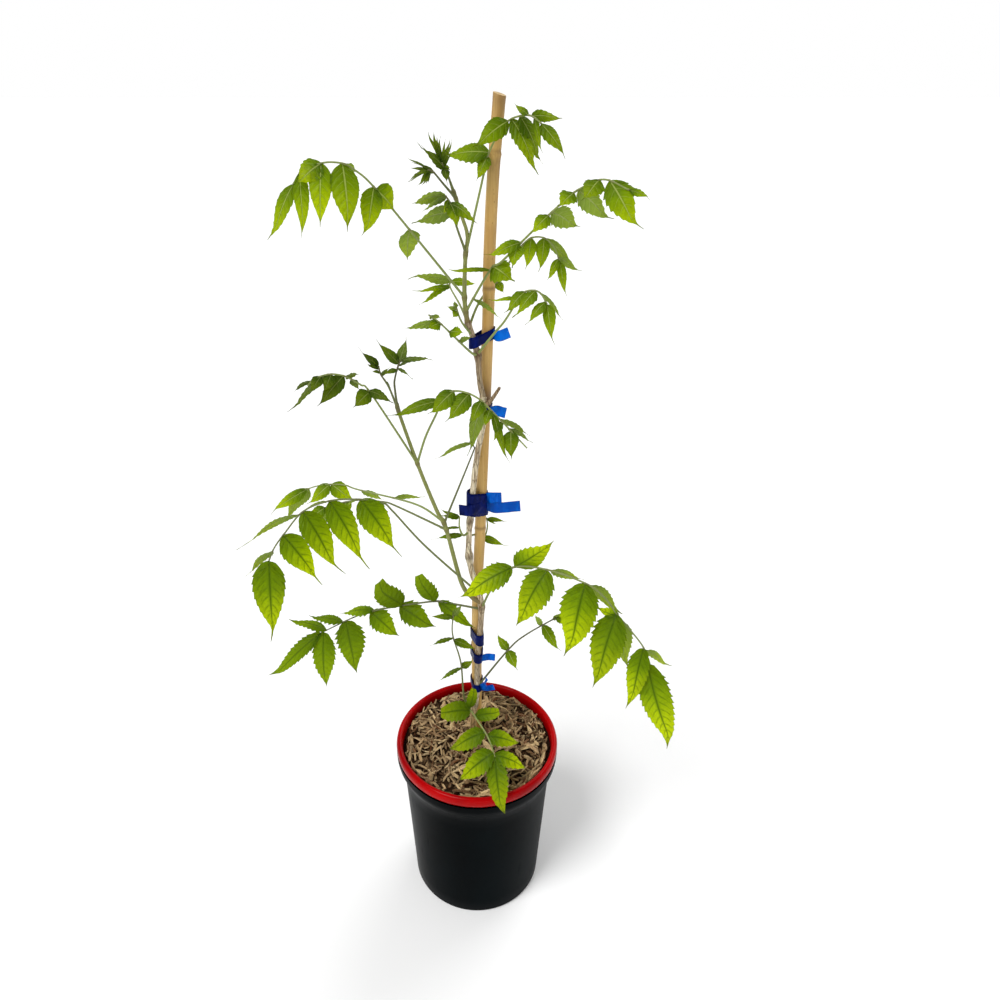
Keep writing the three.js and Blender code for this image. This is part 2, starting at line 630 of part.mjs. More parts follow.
// Edge of one half of a leaflet, as [t, half width], with its teeth pointing to the tip
function toothedEdge(width, teeth) {
  const edge = [];
  if (teeth === 0) return [[SMOOTH_LEAFLET_WIDEST, width / 2]];
  const pitch = 0.11 + 0.34 / teeth;
  for (let i = 0; i < teeth; i += 1) {
    const t = (teeth === 1 ? LONE_TOOTH : FIRST_TOOTH) + pitch * i;
    const notch = t + NOTCH_STEP;
    edge.push([t, (width / 2) * halfWidth(t) * TOOTH_RISE]);
    edge.push([notch, (width / 2) * halfWidth(notch) * NOTCH_DROP]);
  }
  return edge;
}

// Triangles between a rib and an edge, both lists of [vertex, t]
function stitch(rib, edge, tip) {
  const triangles = [];
  let i = 0;
  let j = 0;
  while (i < rib.length - 1 || j < edge.length - 1) {
    const ribNext = i < rib.length - 1 ? rib[i + 1][1] : Infinity;
    const edgeNext = j < edge.length - 1 ? edge[j + 1][1] : Infinity;
    if (edgeNext <= ribNext) {
      triangles.push([rib[i][0], edge[j][0], edge[j + 1][0]]);
      j += 1;
    } else {
      triangles.push([rib[i][0], edge[j][0], rib[i + 1][0]]);
      i += 1;
    }
  }
  triangles.push([rib[i][0], edge[j][0], tip]);
  return triangles;
}

// One leaflet: a toothed blade folded down from its rib and arched, the same triangles on both faces
function makeLeaflet(base, reach, width, side, turn) {
  const length = reach.length();
  const along = reach.clone().normalize();
  const face = new THREE.Vector3(0, 0, 1).addScaledVector(side, BLADE_OUTWARD);
  face.addScaledVector(along, -face.dot(along)).normalize();
  face.applyAxisAngle(along, THREE.MathUtils.degToRad(turn));
  const across = new THREE.Vector3().crossVectors(along, face);
  const points = [];
  const place = (t, out) => {
    const lift = BLADE_ARCH * length * 4 * t * (1 - t) - BLADE_FOLD * Math.abs(out);
    const point = base.clone().addScaledVector(reach, t);
    points.push(point.addScaledVector(face, lift).addScaledVector(across, out));
    return points.length - 1;
  };
  const teeth = toothCount(width);
  const ribStations = teeth > 2 ? [0.14, 0.55] : [0.35 - 0.1 * teeth];
  const rib = ribStations.map((t) => [place(t, 0), t]);
  const outline = toothedEdge(width, teeth);
  const root = [place(0, 0), 0];
  const right = [root, ...outline.map(([t, out]) => [place(t, out), t])];
  const left = [root, ...outline.map(([t, out]) => [place(t, -out), t])];
  const tip = place(1, 0);
  const upper = stitch(rib, right, tip);
  upper.push(...stitch(rib, left, tip).map(([a, b, c]) => [a, c, b]));
  const loop = [...right.map(([v]) => v), tip, ...left.slice(1).map(([v]) => v).reverse()];
  const count = points.length;
  const index = [];
  upper.forEach(([a, b, c]) => index.push(a, b, c, a + count, c + count, b + count));
  loop.forEach((v, i) => {
    const next = loop[(i + 1) % loop.length];
    index.push(v, v + count, next, next, v + count, next + count);
  });
  const half = face.clone().multiplyScalar(BLADE_THICKNESS / 2);
  const top = points.map((point) => point.clone().add(half));
  const bottom = points.map((point) => point.clone().sub(half));
  const geometry = new THREE.BufferGeometry().setFromPoints([...top, ...bottom]);
  geometry.setIndex(index);
  return toSolid(geometry);
}

// A leaf: its stalk from the middle of the stem that carries it, with every leaflet sunk in the stalk
function makeLeaf({ stalk, leaflets }, stemCurve) {
  const root = nearestOn(stemCurve, new THREE.Vector3(...stalk[0]));
  const curve = curveThrough([root.toArray(), ...stalk.slice(1)]);
  const wanted = Math.round(curve.getLength() / STALK_STEP_LENGTH);
  const steps = Math.min(STALK_MAX_STEPS, Math.max(STALK_MIN_STEPS, wanted));
  const solids = [tube(curve, taper(STALK_RADII, 0), STALK_SIDES, steps)];
  leaflets.forEach(([place, x, y, z, width, turn = 0]) => {
    const reach = new THREE.Vector3(x, y, z);
    const heading = curve.getTangentAt(place);
    const side = new THREE.Vector3(-heading.y, heading.x, 0).normalize();
    if (side.dot(reach) < 0) side.negate();
    solids.push(makeLeaflet(onChords(curve, steps, place), reach, width, side, turn));
  });
  return joinAll(solids);
}

// A place on the straight lines between a tube's stations, where its material is
function onChords(curve, steps, place) {
  const station = Math.min(Math.floor(place * steps), steps - 1);
  const from = curve.getPointAt(station / steps);
  return from.lerp(curve.getPointAt((station + 1) / steps), place * steps - station);
}

function nearestOn(curve, target) {
  const samples = curve.getSpacedPoints(300);
  return samples.reduce((best, point) => (
    point.distanceTo(target) < best.distanceTo(target) ? point : best
  ));
}

// A strip of tape along points, standing on its edge
function makeTail(points, band) {
  const curve = curveThrough(points);
  const geometry = new THREE.BoxGeometry(1, TIE_THICKNESS, band, 4, 1, 1);
  const position = geometry.attributes.position;
  for (let i = 0; i < position.count; i += 1) {
    const u = position.getX(i) + 0.5;
    const point = curve.getPointAt(u);
    const heading = curve.getTangentAt(u);
    const side = new THREE.Vector3(-heading.y, heading.x, 0).normalize();
    point.addScaledVector(side, position.getY(i));
    position.setXYZ(i, point.x, point.y, point.z + position.getZ(i));
  }
  return toSolid(geometry);
}

// Outline round the trunk and the stake at a height, a given distance off them
function wrapOutline(z, offset) {
  const stake = nearestAtHeight(stakeCurve(), z);
  const trunk = nearestAtHeight(curveThrough(TRUNK_ROUTE), z);
  const rounds = [
    { x: stake.x, y: stake.y, radius: STAKE_RADII[0] + 0.2 + offset },
    { x: trunk.x, y: trunk.y, radius: TRUNK_RADII[0] + 0.2 + offset },
  ];
  const points = [];
  for (let i = 0; i < WRAP_POINTS; i += 1) {
    const angle = ((i + 0.5) / WRAP_POINTS) * 2 * Math.PI;
    const x = Math.cos(angle);
    const y = Math.sin(angle);
    const reach = (round) => round.x * x + round.y * y + round.radius;
    const far = reach(rounds[0]) > reach(rounds[1]) ? rounds[0] : rounds[1];
    points.push(new THREE.Vector2(far.x + far.radius * x, far.y + far.radius * y));
  }
  return points;
}

function nearestAtHeight(curve, z) {
  const samples = curve.getSpacedPoints(300);
  return samples.reduce((best, point) => (Math.abs(point.z - z) < Math.abs(best.z - z) ? point : best));
}

function makeTie({ z, band, tail, lean, play, tails }) {
  const clear = GAP + play;
  const shape = new THREE.Shape(wrapOutline(z, clear + TIE_THICKNESS));
  shape.holes.push(new THREE.Path(wrapOutline(z, clear)));
  const geometry = new THREE.ExtrudeGeometry(shape, { depth: band, bevelEnabled: false, steps: 1 });
  const position = geometry.attributes.position;
  for (let i = 0; i < position.count; i += 1) {
    position.setZ(i, position.getZ(i) + z - band / 2 + lean * position.getX(i));
  }
  const knot = wrapOutline(z, clear + TIE_THICKNESS / 2)[KNOT_POINT];
  const middle = z + lean * knot.x;
  const room = Math.max(band - tail, 0) / 2;
  const strips = tails.map((points) => {
    const leave = THREE.MathUtils.clamp(points[0][2], middle - room, middle + room);
    return makeTail([[knot.x, knot.y, leave], ...points], tail);
  });
  return joinAll([toSolid(geometry), ...strips]);
}

function addPart(group, name, solid, look) {
  const material = new THREE.MeshStandardMaterial({ ...COLORS[look], metalness: 0 });
  const mesh = new THREE.Mesh(toGeometry(solid), material);
  mesh.name = name;
  group.add(mesh);
}

const group = new THREE.Group();

const stake = makeStake(0);
const trunk = makeTrunk(0);
const stakeRoom = makeStake(GAP);
const trunkRoom = makeTrunk(GAP);
const stemRoom = stakeRoom.add(trunkRoom);
const sideShoot = largest(makeSideShoot(0).subtract(trunkRoom));
const upperShoot = largest(makeUpperShoot(0).subtract(trunkRoom));

addPart(group, 'pot_black', makeBlackPot(), 'black');
addPart(group, 'pot_red', makeRedLiner(), 'red');
addPart(group, 'potting_mix', makeMix(stemRoom), 'mix');
addPart(group, 'bark_mulch', makeBark(stemRoom), 'bark');
addPart(group, 'stake', stake, 'bamboo');
addPart(group, 'trunk', trunk, 'wood');
addPart(group, 'side_shoot', sideShoot, 'stem');
addPart(group, 'upper_shoot', upperShoot, 'stem');

const carriers = {
  trunk: { curve: curveThrough(TRUNK_ROUTE), room: trunkRoom.add(makeUpperShoot(GAP)) },
  side_shoot: { curve: curveThrough(SIDE_SHOOT_ROUTE), room: makeSideShoot(GAP).add(trunkRoom) },
  upper_shoot: { curve: curveThrough(UPPER_SHOOT_ROUTE), room: makeUpperShoot(GAP).add(trunkRoom) },
};
Object.entries(LEAVES).forEach(([name, leaf]) => {
  const carrier = carriers[leaf.on];
  const solid = largest(makeLeaf(leaf, carrier.curve).subtract(carrier.room));
  addPart(group, name, solid, name.includes('tip') ? 'young' : 'leaf');
});

TIES.forEach((tie, i) => addPart(group, `tie_${i + 1}`, makeTie(tie), 'tie'));

export default group;
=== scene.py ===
"""A young trumpet vine taped to a bamboo stake, in a black nursery pot with a red inner pot.

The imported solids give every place. This script replaces each of them with a finer piece of the same
form. The tables are in millimetres, as in the solids' own source, and the finished meshes in metres.
"""

import math
import random

import bmesh
import bpy
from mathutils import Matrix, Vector, noise


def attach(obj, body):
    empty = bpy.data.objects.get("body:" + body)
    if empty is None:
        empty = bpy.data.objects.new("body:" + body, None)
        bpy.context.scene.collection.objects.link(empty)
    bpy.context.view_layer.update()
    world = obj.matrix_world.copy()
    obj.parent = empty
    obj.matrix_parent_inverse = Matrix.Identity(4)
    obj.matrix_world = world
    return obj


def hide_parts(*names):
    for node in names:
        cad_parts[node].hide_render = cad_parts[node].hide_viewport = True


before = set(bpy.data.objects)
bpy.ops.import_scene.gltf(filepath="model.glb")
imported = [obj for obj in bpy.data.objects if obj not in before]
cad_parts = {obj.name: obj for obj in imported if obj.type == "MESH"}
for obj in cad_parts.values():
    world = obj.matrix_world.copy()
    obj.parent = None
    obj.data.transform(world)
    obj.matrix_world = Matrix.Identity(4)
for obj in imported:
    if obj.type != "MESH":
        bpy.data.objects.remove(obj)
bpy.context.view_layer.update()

MM = 0.001
UP = Vector((0, 0, 1))

# Camera: place in metres, tilt below the horizon, and the photo's focal length and centre
CAMERA_PLACE = (0, -0.76, 0.965)
CAMERA_TILT = math.radians(25)
CAMERA_LENS = 28.9
CAMERA_SHIFT = (0.0231, -0.05)

# Lights: name, the way to its source, strength, and how wide it looks in degrees
SUNS = [("key", (-0.5, -0.45, 1), 2.1, 24), ("back", (0.55, 0.8, 0.9), 1.0, 40)]
FLOOR_REACH = 40
FLOOR_HEIGHT = -0.0004

# Pots, as (radius, height) from the middle of the underside to the middle of the floor
BLACK_PROFILE = [
    (0, 0.9), (66, 0.9), (68, 0), (79, 0), (80.4, 0.5), (81, 2), (82, 20), (85.1, 70), (88.2, 120),
    (90.6, 158), (92.2, 172), (94.4, 181), (97, 187), (99, 191.5), (99.9, 196), (100.3, 203.2),
    (98.8, 203.2), (98.2, 197), (96.8, 192.6), (92.6, 186), (90.2, 176), (88.6, 158), (79.4, 5),
    (77, 4), (0, 4),
]
RED_PROFILE = [
    (0, 4.4), (74, 4.4), (77, 7), (86.6, 158), (88.9, 180), (90.4, 187), (93.6, 196), (95, 201.5),
    (97.2, 203.7), (98.8, 204.2), (99.9, 205.8), (100.3, 208.5), (100.3, 211.8), (99.7, 214.2),
    (98.5, 215.9), (96.9, 216.5), (95.2, 216.2), (93.8, 215.1), (93, 213.2), (92.6, 210.5), (92.4, 201),
    (91.8, 197), (88.4, 187), (87, 176), (85, 158), (75.4, 8), (73, 6), (0, 6),
]
POT_SEGMENTS = 144
DRAIN_HOLES = 4
DRAIN_RADIUS = 6
DRAIN_DEPTH = 20
DRAIN_CIRCLE_RADIUS = 52
POT_EDGE_ANGLE = 50

# Filling: the potting mix as (radius, height), and the bark over it
MIX_TOP = 187
MIX_PROFILE = [
    (0.01, 6.6), (70, 6.6), (73.4, 8.4), (75, 12), (84.6, 158), (86.2, 182), (86.6, MIX_TOP), (80, MIX_TOP),
    (0.01, MIX_TOP),
]
MIX_SIDES = 96
MULCH_TOP = 208.4
MULCH_RADIUS = 92
MULCH_RISE = 1.8
BED_DEPTH = 5.8
BED_FOOT_RADIUS = 87
BED_RINGS = 45
BED_SIDES = 120
CHIPS = 2900
CHIPS_DEPTH = 5.6
CHIPS_HEIGHT = 5
PALE_CHIPS = 0.2
CHIP_LENGTHS = (6, 27, 13)
CHIP_WIDTHS = (1.2, 5.2, 2.2)
CHIP_THICKNESSES = (1.1, 2.5)
CHIP_STEPS = 5
CHIP_SECTION = ((-1, -0.6), (-0.55, 1), (0.5, 0.85), (1, -0.3), (0.1, -1))
WALL_CHIP_LENGTH = 22
SPLINTERS = 34
SPLINTER_LENGTHS = (20, 36)
SPLINTER_WIDTHS = (4.5, 7.5)

# Stake, trunk and shoots. A stain is its strength, height and reach
STAKE_DEPTH = 20
STAKE_AXIS = [(0, 51), (0, 378), (4, 513), (11, 740), (12, 805), (15, 881), (20.2, 951)]
STAKE_RADII = (6.2, 5.9)
STAKE_KNOTS = (170, 345, 505, 648, 775, 900)
STAKE_STAINS = ((0.85, 661, 13), (0.7, 893, 16))
STAKE_SIDES = 40
STAKE_STEPS = 300
TRUNK_ROUTE = [
    (-4, 7, 132), (-4, 6, 196), (-4, 6, 249), (0, 7, 283), (1, 8, 334), (5, 9, 391), (4, 9, 418),
    (-7, 9, 460), (-9, 9, 498), (-4, 9, 561), (1, 9, 605), (8, 9, 650), (3, 9, 683), (0, 9, 715),
    (-9, 10, 745),
]
TRUNK_RADII = (3.9, 2.8)
TRUNK_NODES = (262, 405, 474, 520, 652, 712, 748)
TRUNK_SIDES = 28
TRUNK_STEPS = 440
DEAD_STUB = [(7, 8, 655), (14, 4, 664), (23, 0, 680)]
CUT_STUB = [(5, 9, 657), (8, 6, 667)]
STUB_SIDES = 14
STUB_STEPS = 24
SIDE_SHOOT_ROUTE = [
    (4, 9, 412), (-6, 5, 422), (-18, 2, 445), (-34, -2, 518), (-43, -4, 540), (-61, -10, 597),
    (-78, -13, 657), (-80, -13, 668),
]
SIDE_SHOOT_RADII = (2.6, 1.7)
UPPER_SHOOT_ROUTE = [
    (-9, 10, 742), (-12, 10, 768), (-11, 9, 808), (-9, 9, 829), (-15, 9, 849), (-22, 9, 870),
]
UPPER_SHOOT_RADII = (2.4, 1.5)
SHOOT_SIDES = 18
SHOOT_STEP = 1.4

# Ties: height, widths of the band and of its tails, rise to the right, each tail's points from the knot
TIES = [
    (726, 11, 11, 0.33, [[(22, 6, 732), (31, 4, 736)]]),
    (651, 12, 12, -0.1, [[(20, 9, 651), (29, 6, 650)]]),
    (540.5, 28, 13, -0.3, [[(16, 11, 548), (26, 9, 549)], [(22, 11, 535.5), (46.6, 9, 538.9)],
                          [(-7, 2.4, 537), (-18.5, 3.6, 537)]]),
    (360, 15, 10, -0.2, []),
    (333, 13, 10, -0.2, [[(12, 8, 333), (21, 7, 333)]]),
    (288.5, 10, 8, -0.1, [[(10, -4, 300), (10, -6, 310)], [(13, 0, 292), (20, -3, 296)]]),
]
# Each turn of a band: its room around stake and stem, its drift up and down, and its share of the width
TIE_TURNS = ((0.15, -0.4, 1), (0.75, 0.5, 0.9))
TIE_REACHES = (6.75, 4.35)
TIE_KNOT_ROOM = 0.45
TIE_WALL = 0.45
TIE_LAYERS = 0.95
TIE_POINTS = 96
TAPE_COLUMNS = 9
TAIL_STEPS = 30
KNOT_WAY = Vector((1, -1, 0)).normalized()

# Leaf stalks and blades
STALK_RADII = (1.3, 0.72)
STALK_SIDES = 10
STALK_STEP = 1.6
STALK_END = 0.99
BLADE_ARCH = 0.09
BLADE_FOLD = 0.2
BLADE_OUTWARD = 1.2
BLADE_BEND = 0.06
TIP_HOOK = 0.09
VEIN_SLANT = 0.25
BLADE_COLUMNS = (0, 0.2, 0.42, 0.64, 0.84, 1)
TOOTH_ROWS = ((0, 0.93), (0.3, 0.99), (0.62, 1.06), (0.92, 1.15))
FIRST_TOOTH = 0.11
LAST_TOOTH = 0.82
NARROW = 5
NARROW_END = 0.95
BLUNT_END = 1.3

# Each leaf: the stem that carries it, its stalk's points, and its leaflets as (place along the stalk, x, y
# and z from the leaflet's base to its tip, width, and a turn about the midrib in degrees where it has one)
LEAVES = {
    "leaf_upper_left": ("upper_shoot", [
        (-12, 10, 769), (-56, -16, 832), (-89, -36, 878), (-103, -42, 892), (-113, -46, 898),
        (-128, -50, 899), (-146, -52, 893), (-155, -52, 882),
    ], [
        (0.4, -4, 14, -30, 21), (0.62, 16, 8, -18, 24, 30), (0.63, -9, -16, -40, 19), (0.77, 7, 16, -8, 9),
        (0.78, 5, -22, -53, 24), (0.86, -2, -20, -49, 19), (0.86, -21, -10, -15, 22),
        (0.95, 2, -14, -51, 13), (0.92, -13, 12, -13, 6), (1, -21, -10, -46, 14),
    ]),
    "leaf_top_right": ("upper_shoot", [
        (-10, 9, 811), (6, 8, 883), (9, 7, 898), (16, 6, 913), (23, 4, 925), (29, 0, 930), (36, -6, 933),
        (46, -16, 934), (55, -22, 928),
    ], [
        (0.55, -10, -8, -21, 12), (0.57, -43, 14, -4, 21, -95), (0.765, -32, -12, -20, 19, -30),
        (0.79, 26, -16, -44, 17, 98), (0.85, 22, 14, -41, 16, 95), (0.91, -12, 8, 9, 6),
        (0.93, 28, 14, -2, 11, 85), (0.95, 9, -8, -28, 6), (1, 20, -10, -28, 13, 101),
    ]),
    "leaf_top_hanging": ("upper_shoot", [
        (-11, 6, 814), (-16, 1, 830), (-20, -6, 844), (-23, -12, 859), (-28, -15, 868),
    ], [
        (0.72, -37, -12, -7, 19, 27), (0.87, 25, -3, -17, 15), (0.89, 9, -12, -22, 14),
        (0.93, -4, -8, -12, 5), (0.97, -22, -10, -10, 9), (1, -31, -8, -6, 18),
    ]),
    "leaf_upper_right": ("upper_shoot", [
        (-9, 8, 756), (13, 4, 798), (24, 0, 807), (64, -30, 854), (74, -40, 865), (86, -48, 877),
        (105, -62, 887), (125, -74, 880),
    ], [
        (0.07, 29, -4, -20, 8), (0.22, -43, -4, 0, 5), (0.24, 21, -14, -10, 24), (0.4, -5, -14, -18, 16),
        (0.42, -34, -6, -11, 12, -16), (0.6, -17, -8, -15, 14, -17), (0.62, 28, 10, -15, 21, -43),
        (0.75, -14, -12, -10, 16, -16), (0.77, 30, -14, -23, 19, -34), (0.87, -15, -14, -15, 18, -18),
        (0.915, 26, -20, -37, 23), (0.93, 27, -5, -10, 5), (1, 17, -4, -7, 7, 98),
    ]),
    "leaf_behind_stake": ("trunk", [
        (-5, 13, 742), (-1, 22, 755), (5, 30, 764), (12, 34, 771), (21, 36, 780), (35, 42, 801),
        (46, 46, 814), (55, 48, 820), (67, 50, 819), (77, 50, 810), (83, 48, 796),
    ], [
        (0.36, 8, -6, -9, 10), (0.65, -7, 8, -21, 12), (0.72, -5, -10, -30, 13), (0.81, -5, -8, -32, 14),
        (0.82, 35, 12, -32, 12), (0.97, 24, 6, -16, 10, -24), (0.98, -12, -6, -21, 9), (1, 8, -6, -34, 9),
    ]),
    "leaf_right_of_tie": ("trunk", [
        (3, 4, 712), (9, -2, 727), (19, -6, 741), (27, -12, 753), (40, -26, 779), (47, -30, 786),
        (57, -36, 786), (64, -40, 776),
    ], [
        (0.69, -28, -2, -2, 5), (0.77, -20, -10, -18, 13), (0.86, -20, -12, -23, 14),
        (0.9, 26, 12, -30, 7), (0.98, -19, -10, -19, 11), (1, 9, -10, -35, 12),
    ]),
    "leaf_left_of_tie": ("trunk", [
        (-1, 6, 712), (-7, 0, 718), (-35, -12, 750), (-46, -14, 759),
    ], [
        (0.42, 13, 6, 3, 8, -18), (0.62, 15, -8, 2, 13), (0.78, -38, -6, -1, 11, 16),
        (0.81, -12, -8, -3, 12), (0.97, 10, 8, -4, 10),
    ]),
    "leaf_upper_back": ("trunk", [
        (-8, 15, 736), (-16, 26, 756), (-27, 42, 772), (-26, 46, 777),
    ], [
        (0.88, -37, -12, -2, 7, -24), (0.93, -30, -12, -19, 10, -33), (0.99, 27, 10, -4, 10),
        (1, -43, -8, 4, 14, 23),
    ]),
    "bud_upper": ("trunk", [
        (-8, 8, 731), (-15, 1, 748), (-20, -2, 763),
    ], [
        (0.88, -5, -4, -5, 7), (0.94, -9, -3, 4, 7), (1, -1, 3, 6, 6),
    ]),
    "leaf_middle_left": ("side_shoot", [
        (-62, -10, 599), (-102, -34, 686), (-111, -38, 697), (-125, -44, 708), (-138, -50, 712),
        (-151, -54, 709), (-158, -56, 703),
    ], [
        (0.59, -16, -12, -11, 16), (0.6, 25, -10, -8, 11), (0.73, 6, 8, -14, 8), (0.765, 11, 10, -1, 12),
        (0.78, -26, -12, -26, 16), (0.85, -8, -10, -15, 11), (0.87, -40, -8, -35, 12),
        (0.91, -9, -12, -12, 11), (0.96, -23, 8, -15, 7),
    ]),
    "shoot_tip_right": ("side_shoot", [
        (-80, -13, 664), (-81, -14, 681), (-81, -16, 693), (-77, -18, 708), (-74, -19, 715),
    ], [
        (0.8, -16, -6, -3, 6), (0.92, -21, 5, 25, 10), (0.84, 15, -5, -10, 8), (0.96, 6, 4, 26, 10),
        (1, 34, -6, 1, 10), (0.88, 27, 6, 7, 6),
    ]),
    "shoot_tip_left": ("side_shoot", [
        (-80, -12, 660), (-88, -5, 682), (-96, -2, 695), (-98, 0, 703),
    ], [
        (0.69, 7, 5, -17, 4), (0.8, 9, 4, 8, 6), (1, -20, 4, 18, 8), (0.94, -12, -3, 6, 5),
        (0.87, -7, -5, 3, 5),
    ]),
    "leaf_over_stake": ("side_shoot", [
        (-61, -10, 600), (-52, -16, 633), (-39, -24, 664), (-35, -27, 678), (-28, -30, 686),
        (-16, -34, 689), (0, -38, 684), (15, -42, 671), (49, -48, 635),
    ], [
        (0.42, -53, -4, -16, 13), (0.52, -25, -10, -22, 19), (0.6, -23, -12, -25, 19),
        (0.67, -11, -12, -20, 13), (0.68, -20, 10, -61, 15), (0.73, -6, -10, -15, 9),
        (0.745, 18, -8, -52, 8), (0.8, 31, 10, -22, 11), (0.815, -9, -8, -19, 7), (0.86, 26, 8, -19, 9),
        (0.88, 1, -10, -27, 16),
    ]),
    "leaf_single": ("side_shoot", [
        (-33, 0, 524), (-5, -8, 609), (-3, -9, 618), (-7, -10, 625),
    ], [
        (0.98, -38, -6, -14, 8, 17), (1, 5, 3, 6, 4, -18),
    ]),
    "leaf_back_left": ("side_shoot", [
        (-37, 6, 527), (-69, 26, 532), (-135, 54, 535), (-151, 58, 539), (-169, 62, 538), (-184, 64, 535),
        (-199, 66, 529),
    ], [
        (0.39, 35, 8, -4, 9, -22), (0.61, 25, 10, -18, 13, -22), (0.82, 28, -10, -16, 19),
        (0.83, -26, -10, -22, 16), (0.98, -38, 10, -49, 19), (0.99, -43, -6, -32, 15),
    ]),
    "leaf_back_small": ("side_shoot", [
        (-34, 2, 514), (-89, 16, 535), (-104, 20, 538), (-130, 26, 537), (-153, 30, 531), (-171, 32, 524),
    ], [
        (0.52, -22, -8, -34, 10), (0.83, 5, -8, -13, 13), (0.91, -6, -8, -35, 18), (0.95, -35, 8, -48, 16),
        (1, -23, -10, -14, 15),
    ]),
    "leaf_front_left": ("trunk", [
        (-9, 6, 421), (-54, -30, 511), (-84, -54, 567), (-94, -60, 581), (-116, -70, 590),
        (-141, -80, 594), (-166, -88, 587), (-185, -94, 566), (-196, -96, 551), (-202, -98, 538),
    ], [
        (0.65, 41, -16, -55, 29), (0.66, -16, 14, -19, 6), (0.74, 39, -16, -66, 26),
        (0.74, -35, 14, -22, 7), (0.82, 38, -16, -62, 27), (0.83, -72, 18, -52, 12),
        (0.91, 39, -14, -46, 26), (0.97, -33, 10, -36, 12), (1, -6, -16, -87, 31),
    ]),
    "leaf_lower_left": ("trunk", [
        (-6, 13, 402), (-34, 22, 401), (-58, 30, 397), (-135, 48, 368), (-196, 58, 330),
    ], [
        (0.24, 45, -28, -16, 16), (0.26, -17, -12, 45, 20), (0.45, -27, -14, 41, 27),
        (0.47, 44, -14, -21, 27), (0.63, -44, 12, -12, 18, -57), (0.65, 36, -14, -25, 26),
        (0.82, 16, -18, -67, 34), (0.84, -46, 10, 0, 16, -56), (0.96, -48, 10, 10, 16, -53),
        (0.98, -1, -14, -78, 29), (1, -71, -8, -64, 19),
    ]),
    "leaf_front_right": ("trunk", [
        (0, 2, 403), (17, -12, 446), (38, -26, 482), (72, -44, 492), (114, -64, 487), (134, -72, 473),
        (146, -78, 458), (173, -86, 425), (180, -88, 403),
    ], [
        (0.32, -60, -14, -27, 28), (0.335, 36, -12, 43, 26, 160), (0.465, -35, -18, -59, 35),
        (0.48, 36, 12, -20, 13, -39), (0.61, -16, -22, -79, 38), (0.62, 43, 14, -47, 17, -27),
        (0.765, -21, -22, -81, 35), (0.78, -22, 10, 6, 13, -140), (0.8, 10, 16, -76, 18),
        (0.93, -13, -16, -69, 22), (0.94, 33, 10, -30, 10, -27), (1, 25, -16, -104, 32),
    ]),
    "leaf_over_rim": ("trunk", [
        (-4, 6, 258), (-12, -2, 268), (-3, -28, 275), (13, -56, 268), (21, -72, 254),
    ], [
        (0.28, 6, 14, 18, 13, -46), (0.34, -36, -2, 0, 25), (0.46, 29, 4, 3, 17, 44),
        (0.7, -42, -4, -20, 23), (0.75, 37, -2, -7, 19, 53), (0.95, -40, -8, -32, 26, -16),
        (0.97, 37, -6, -12, 18, 52), (1, 12, -36, -49, 25, -22),
    ]),
    "basal_shoot_left": ("trunk", [
        (-4, 6, 262), (-15, 0, 275), (-19, -6, 336), (-28, -10, 380), (-27, -12, 409),
    ], [
        (0.47, 14, 4, 10, 9), (0.47, -29, -6, -16, 11, -26), (0.76, 27, -4, -10, 10),
        (0.78, -28, -6, -6, 10, -40), (0.98, -27, -4, 5, 7), (0.99, 10, 4, 14, 7),
    ]),
    "basal_shoot_right": ("trunk", [
        (0, 0, 288), (36, -14, 361), (55, -20, 387), (88, -30, 419),
    ], [
        (0.51, -12, 6, 21, 10, 15), (0.51, 13, -8, -22, 13), (0.87, -8, 6, 11, 9, 18),
        (0.88, 22, -8, -30, 12), (0.97, 11, 4, 6, 8, -22), (1, 13, -4, -6, 7),
    ]),
    "top_tip": ("upper_shoot", [
        (-22, 9, 868), (-27, 9, 884), (-32, 8, 894),
    ], [
        (0.8, 3, -8, -15, 8), (0.84, 6, -4, -2, 4), (0.78, -26, -8, 24, 11), (0.85, 7, -8, 14, 3),
        (0.91, 9, -4, 22, 3), (0.96, -8, -3, 28, 5), (1, -1, 6, 22, 3),
    ]),
    "top_side_tip": ("upper_shoot", [
        (-21, 8, 862), (-31, 0, 877), (-39, -5, 887), (-44, -7, 889),
    ], [
        (0.94, -4, 2, -12, 4), (0.97, -10, -4, -13, 4), (0.83, -20, 3, 10, 6), (0.89, -17, -4, 3, 4),
        (0.95, -13, -6, -2, 5), (1, -19, 4, -10, 4),
    ]),
    "sprout_left": ("trunk", [
        (-9, 8, 506), (-15, 2, 506), (-19, 0, 517), (-19, 1, 530),
    ], [
        (0.3, -37, 6, -10, 8, -60), (0.97, -24, 12, -4, 9),
    ]),
    "sprout_right": ("trunk", [
        (-8, 15, 500), (-1, 27, 492), (8, 31, 486), (12, 33, 498), (11, 32, 511),
    ], [
        (0.53, 32, 3, -13, 9), (0.97, 26, 3, -4, 6),
    ]),
}

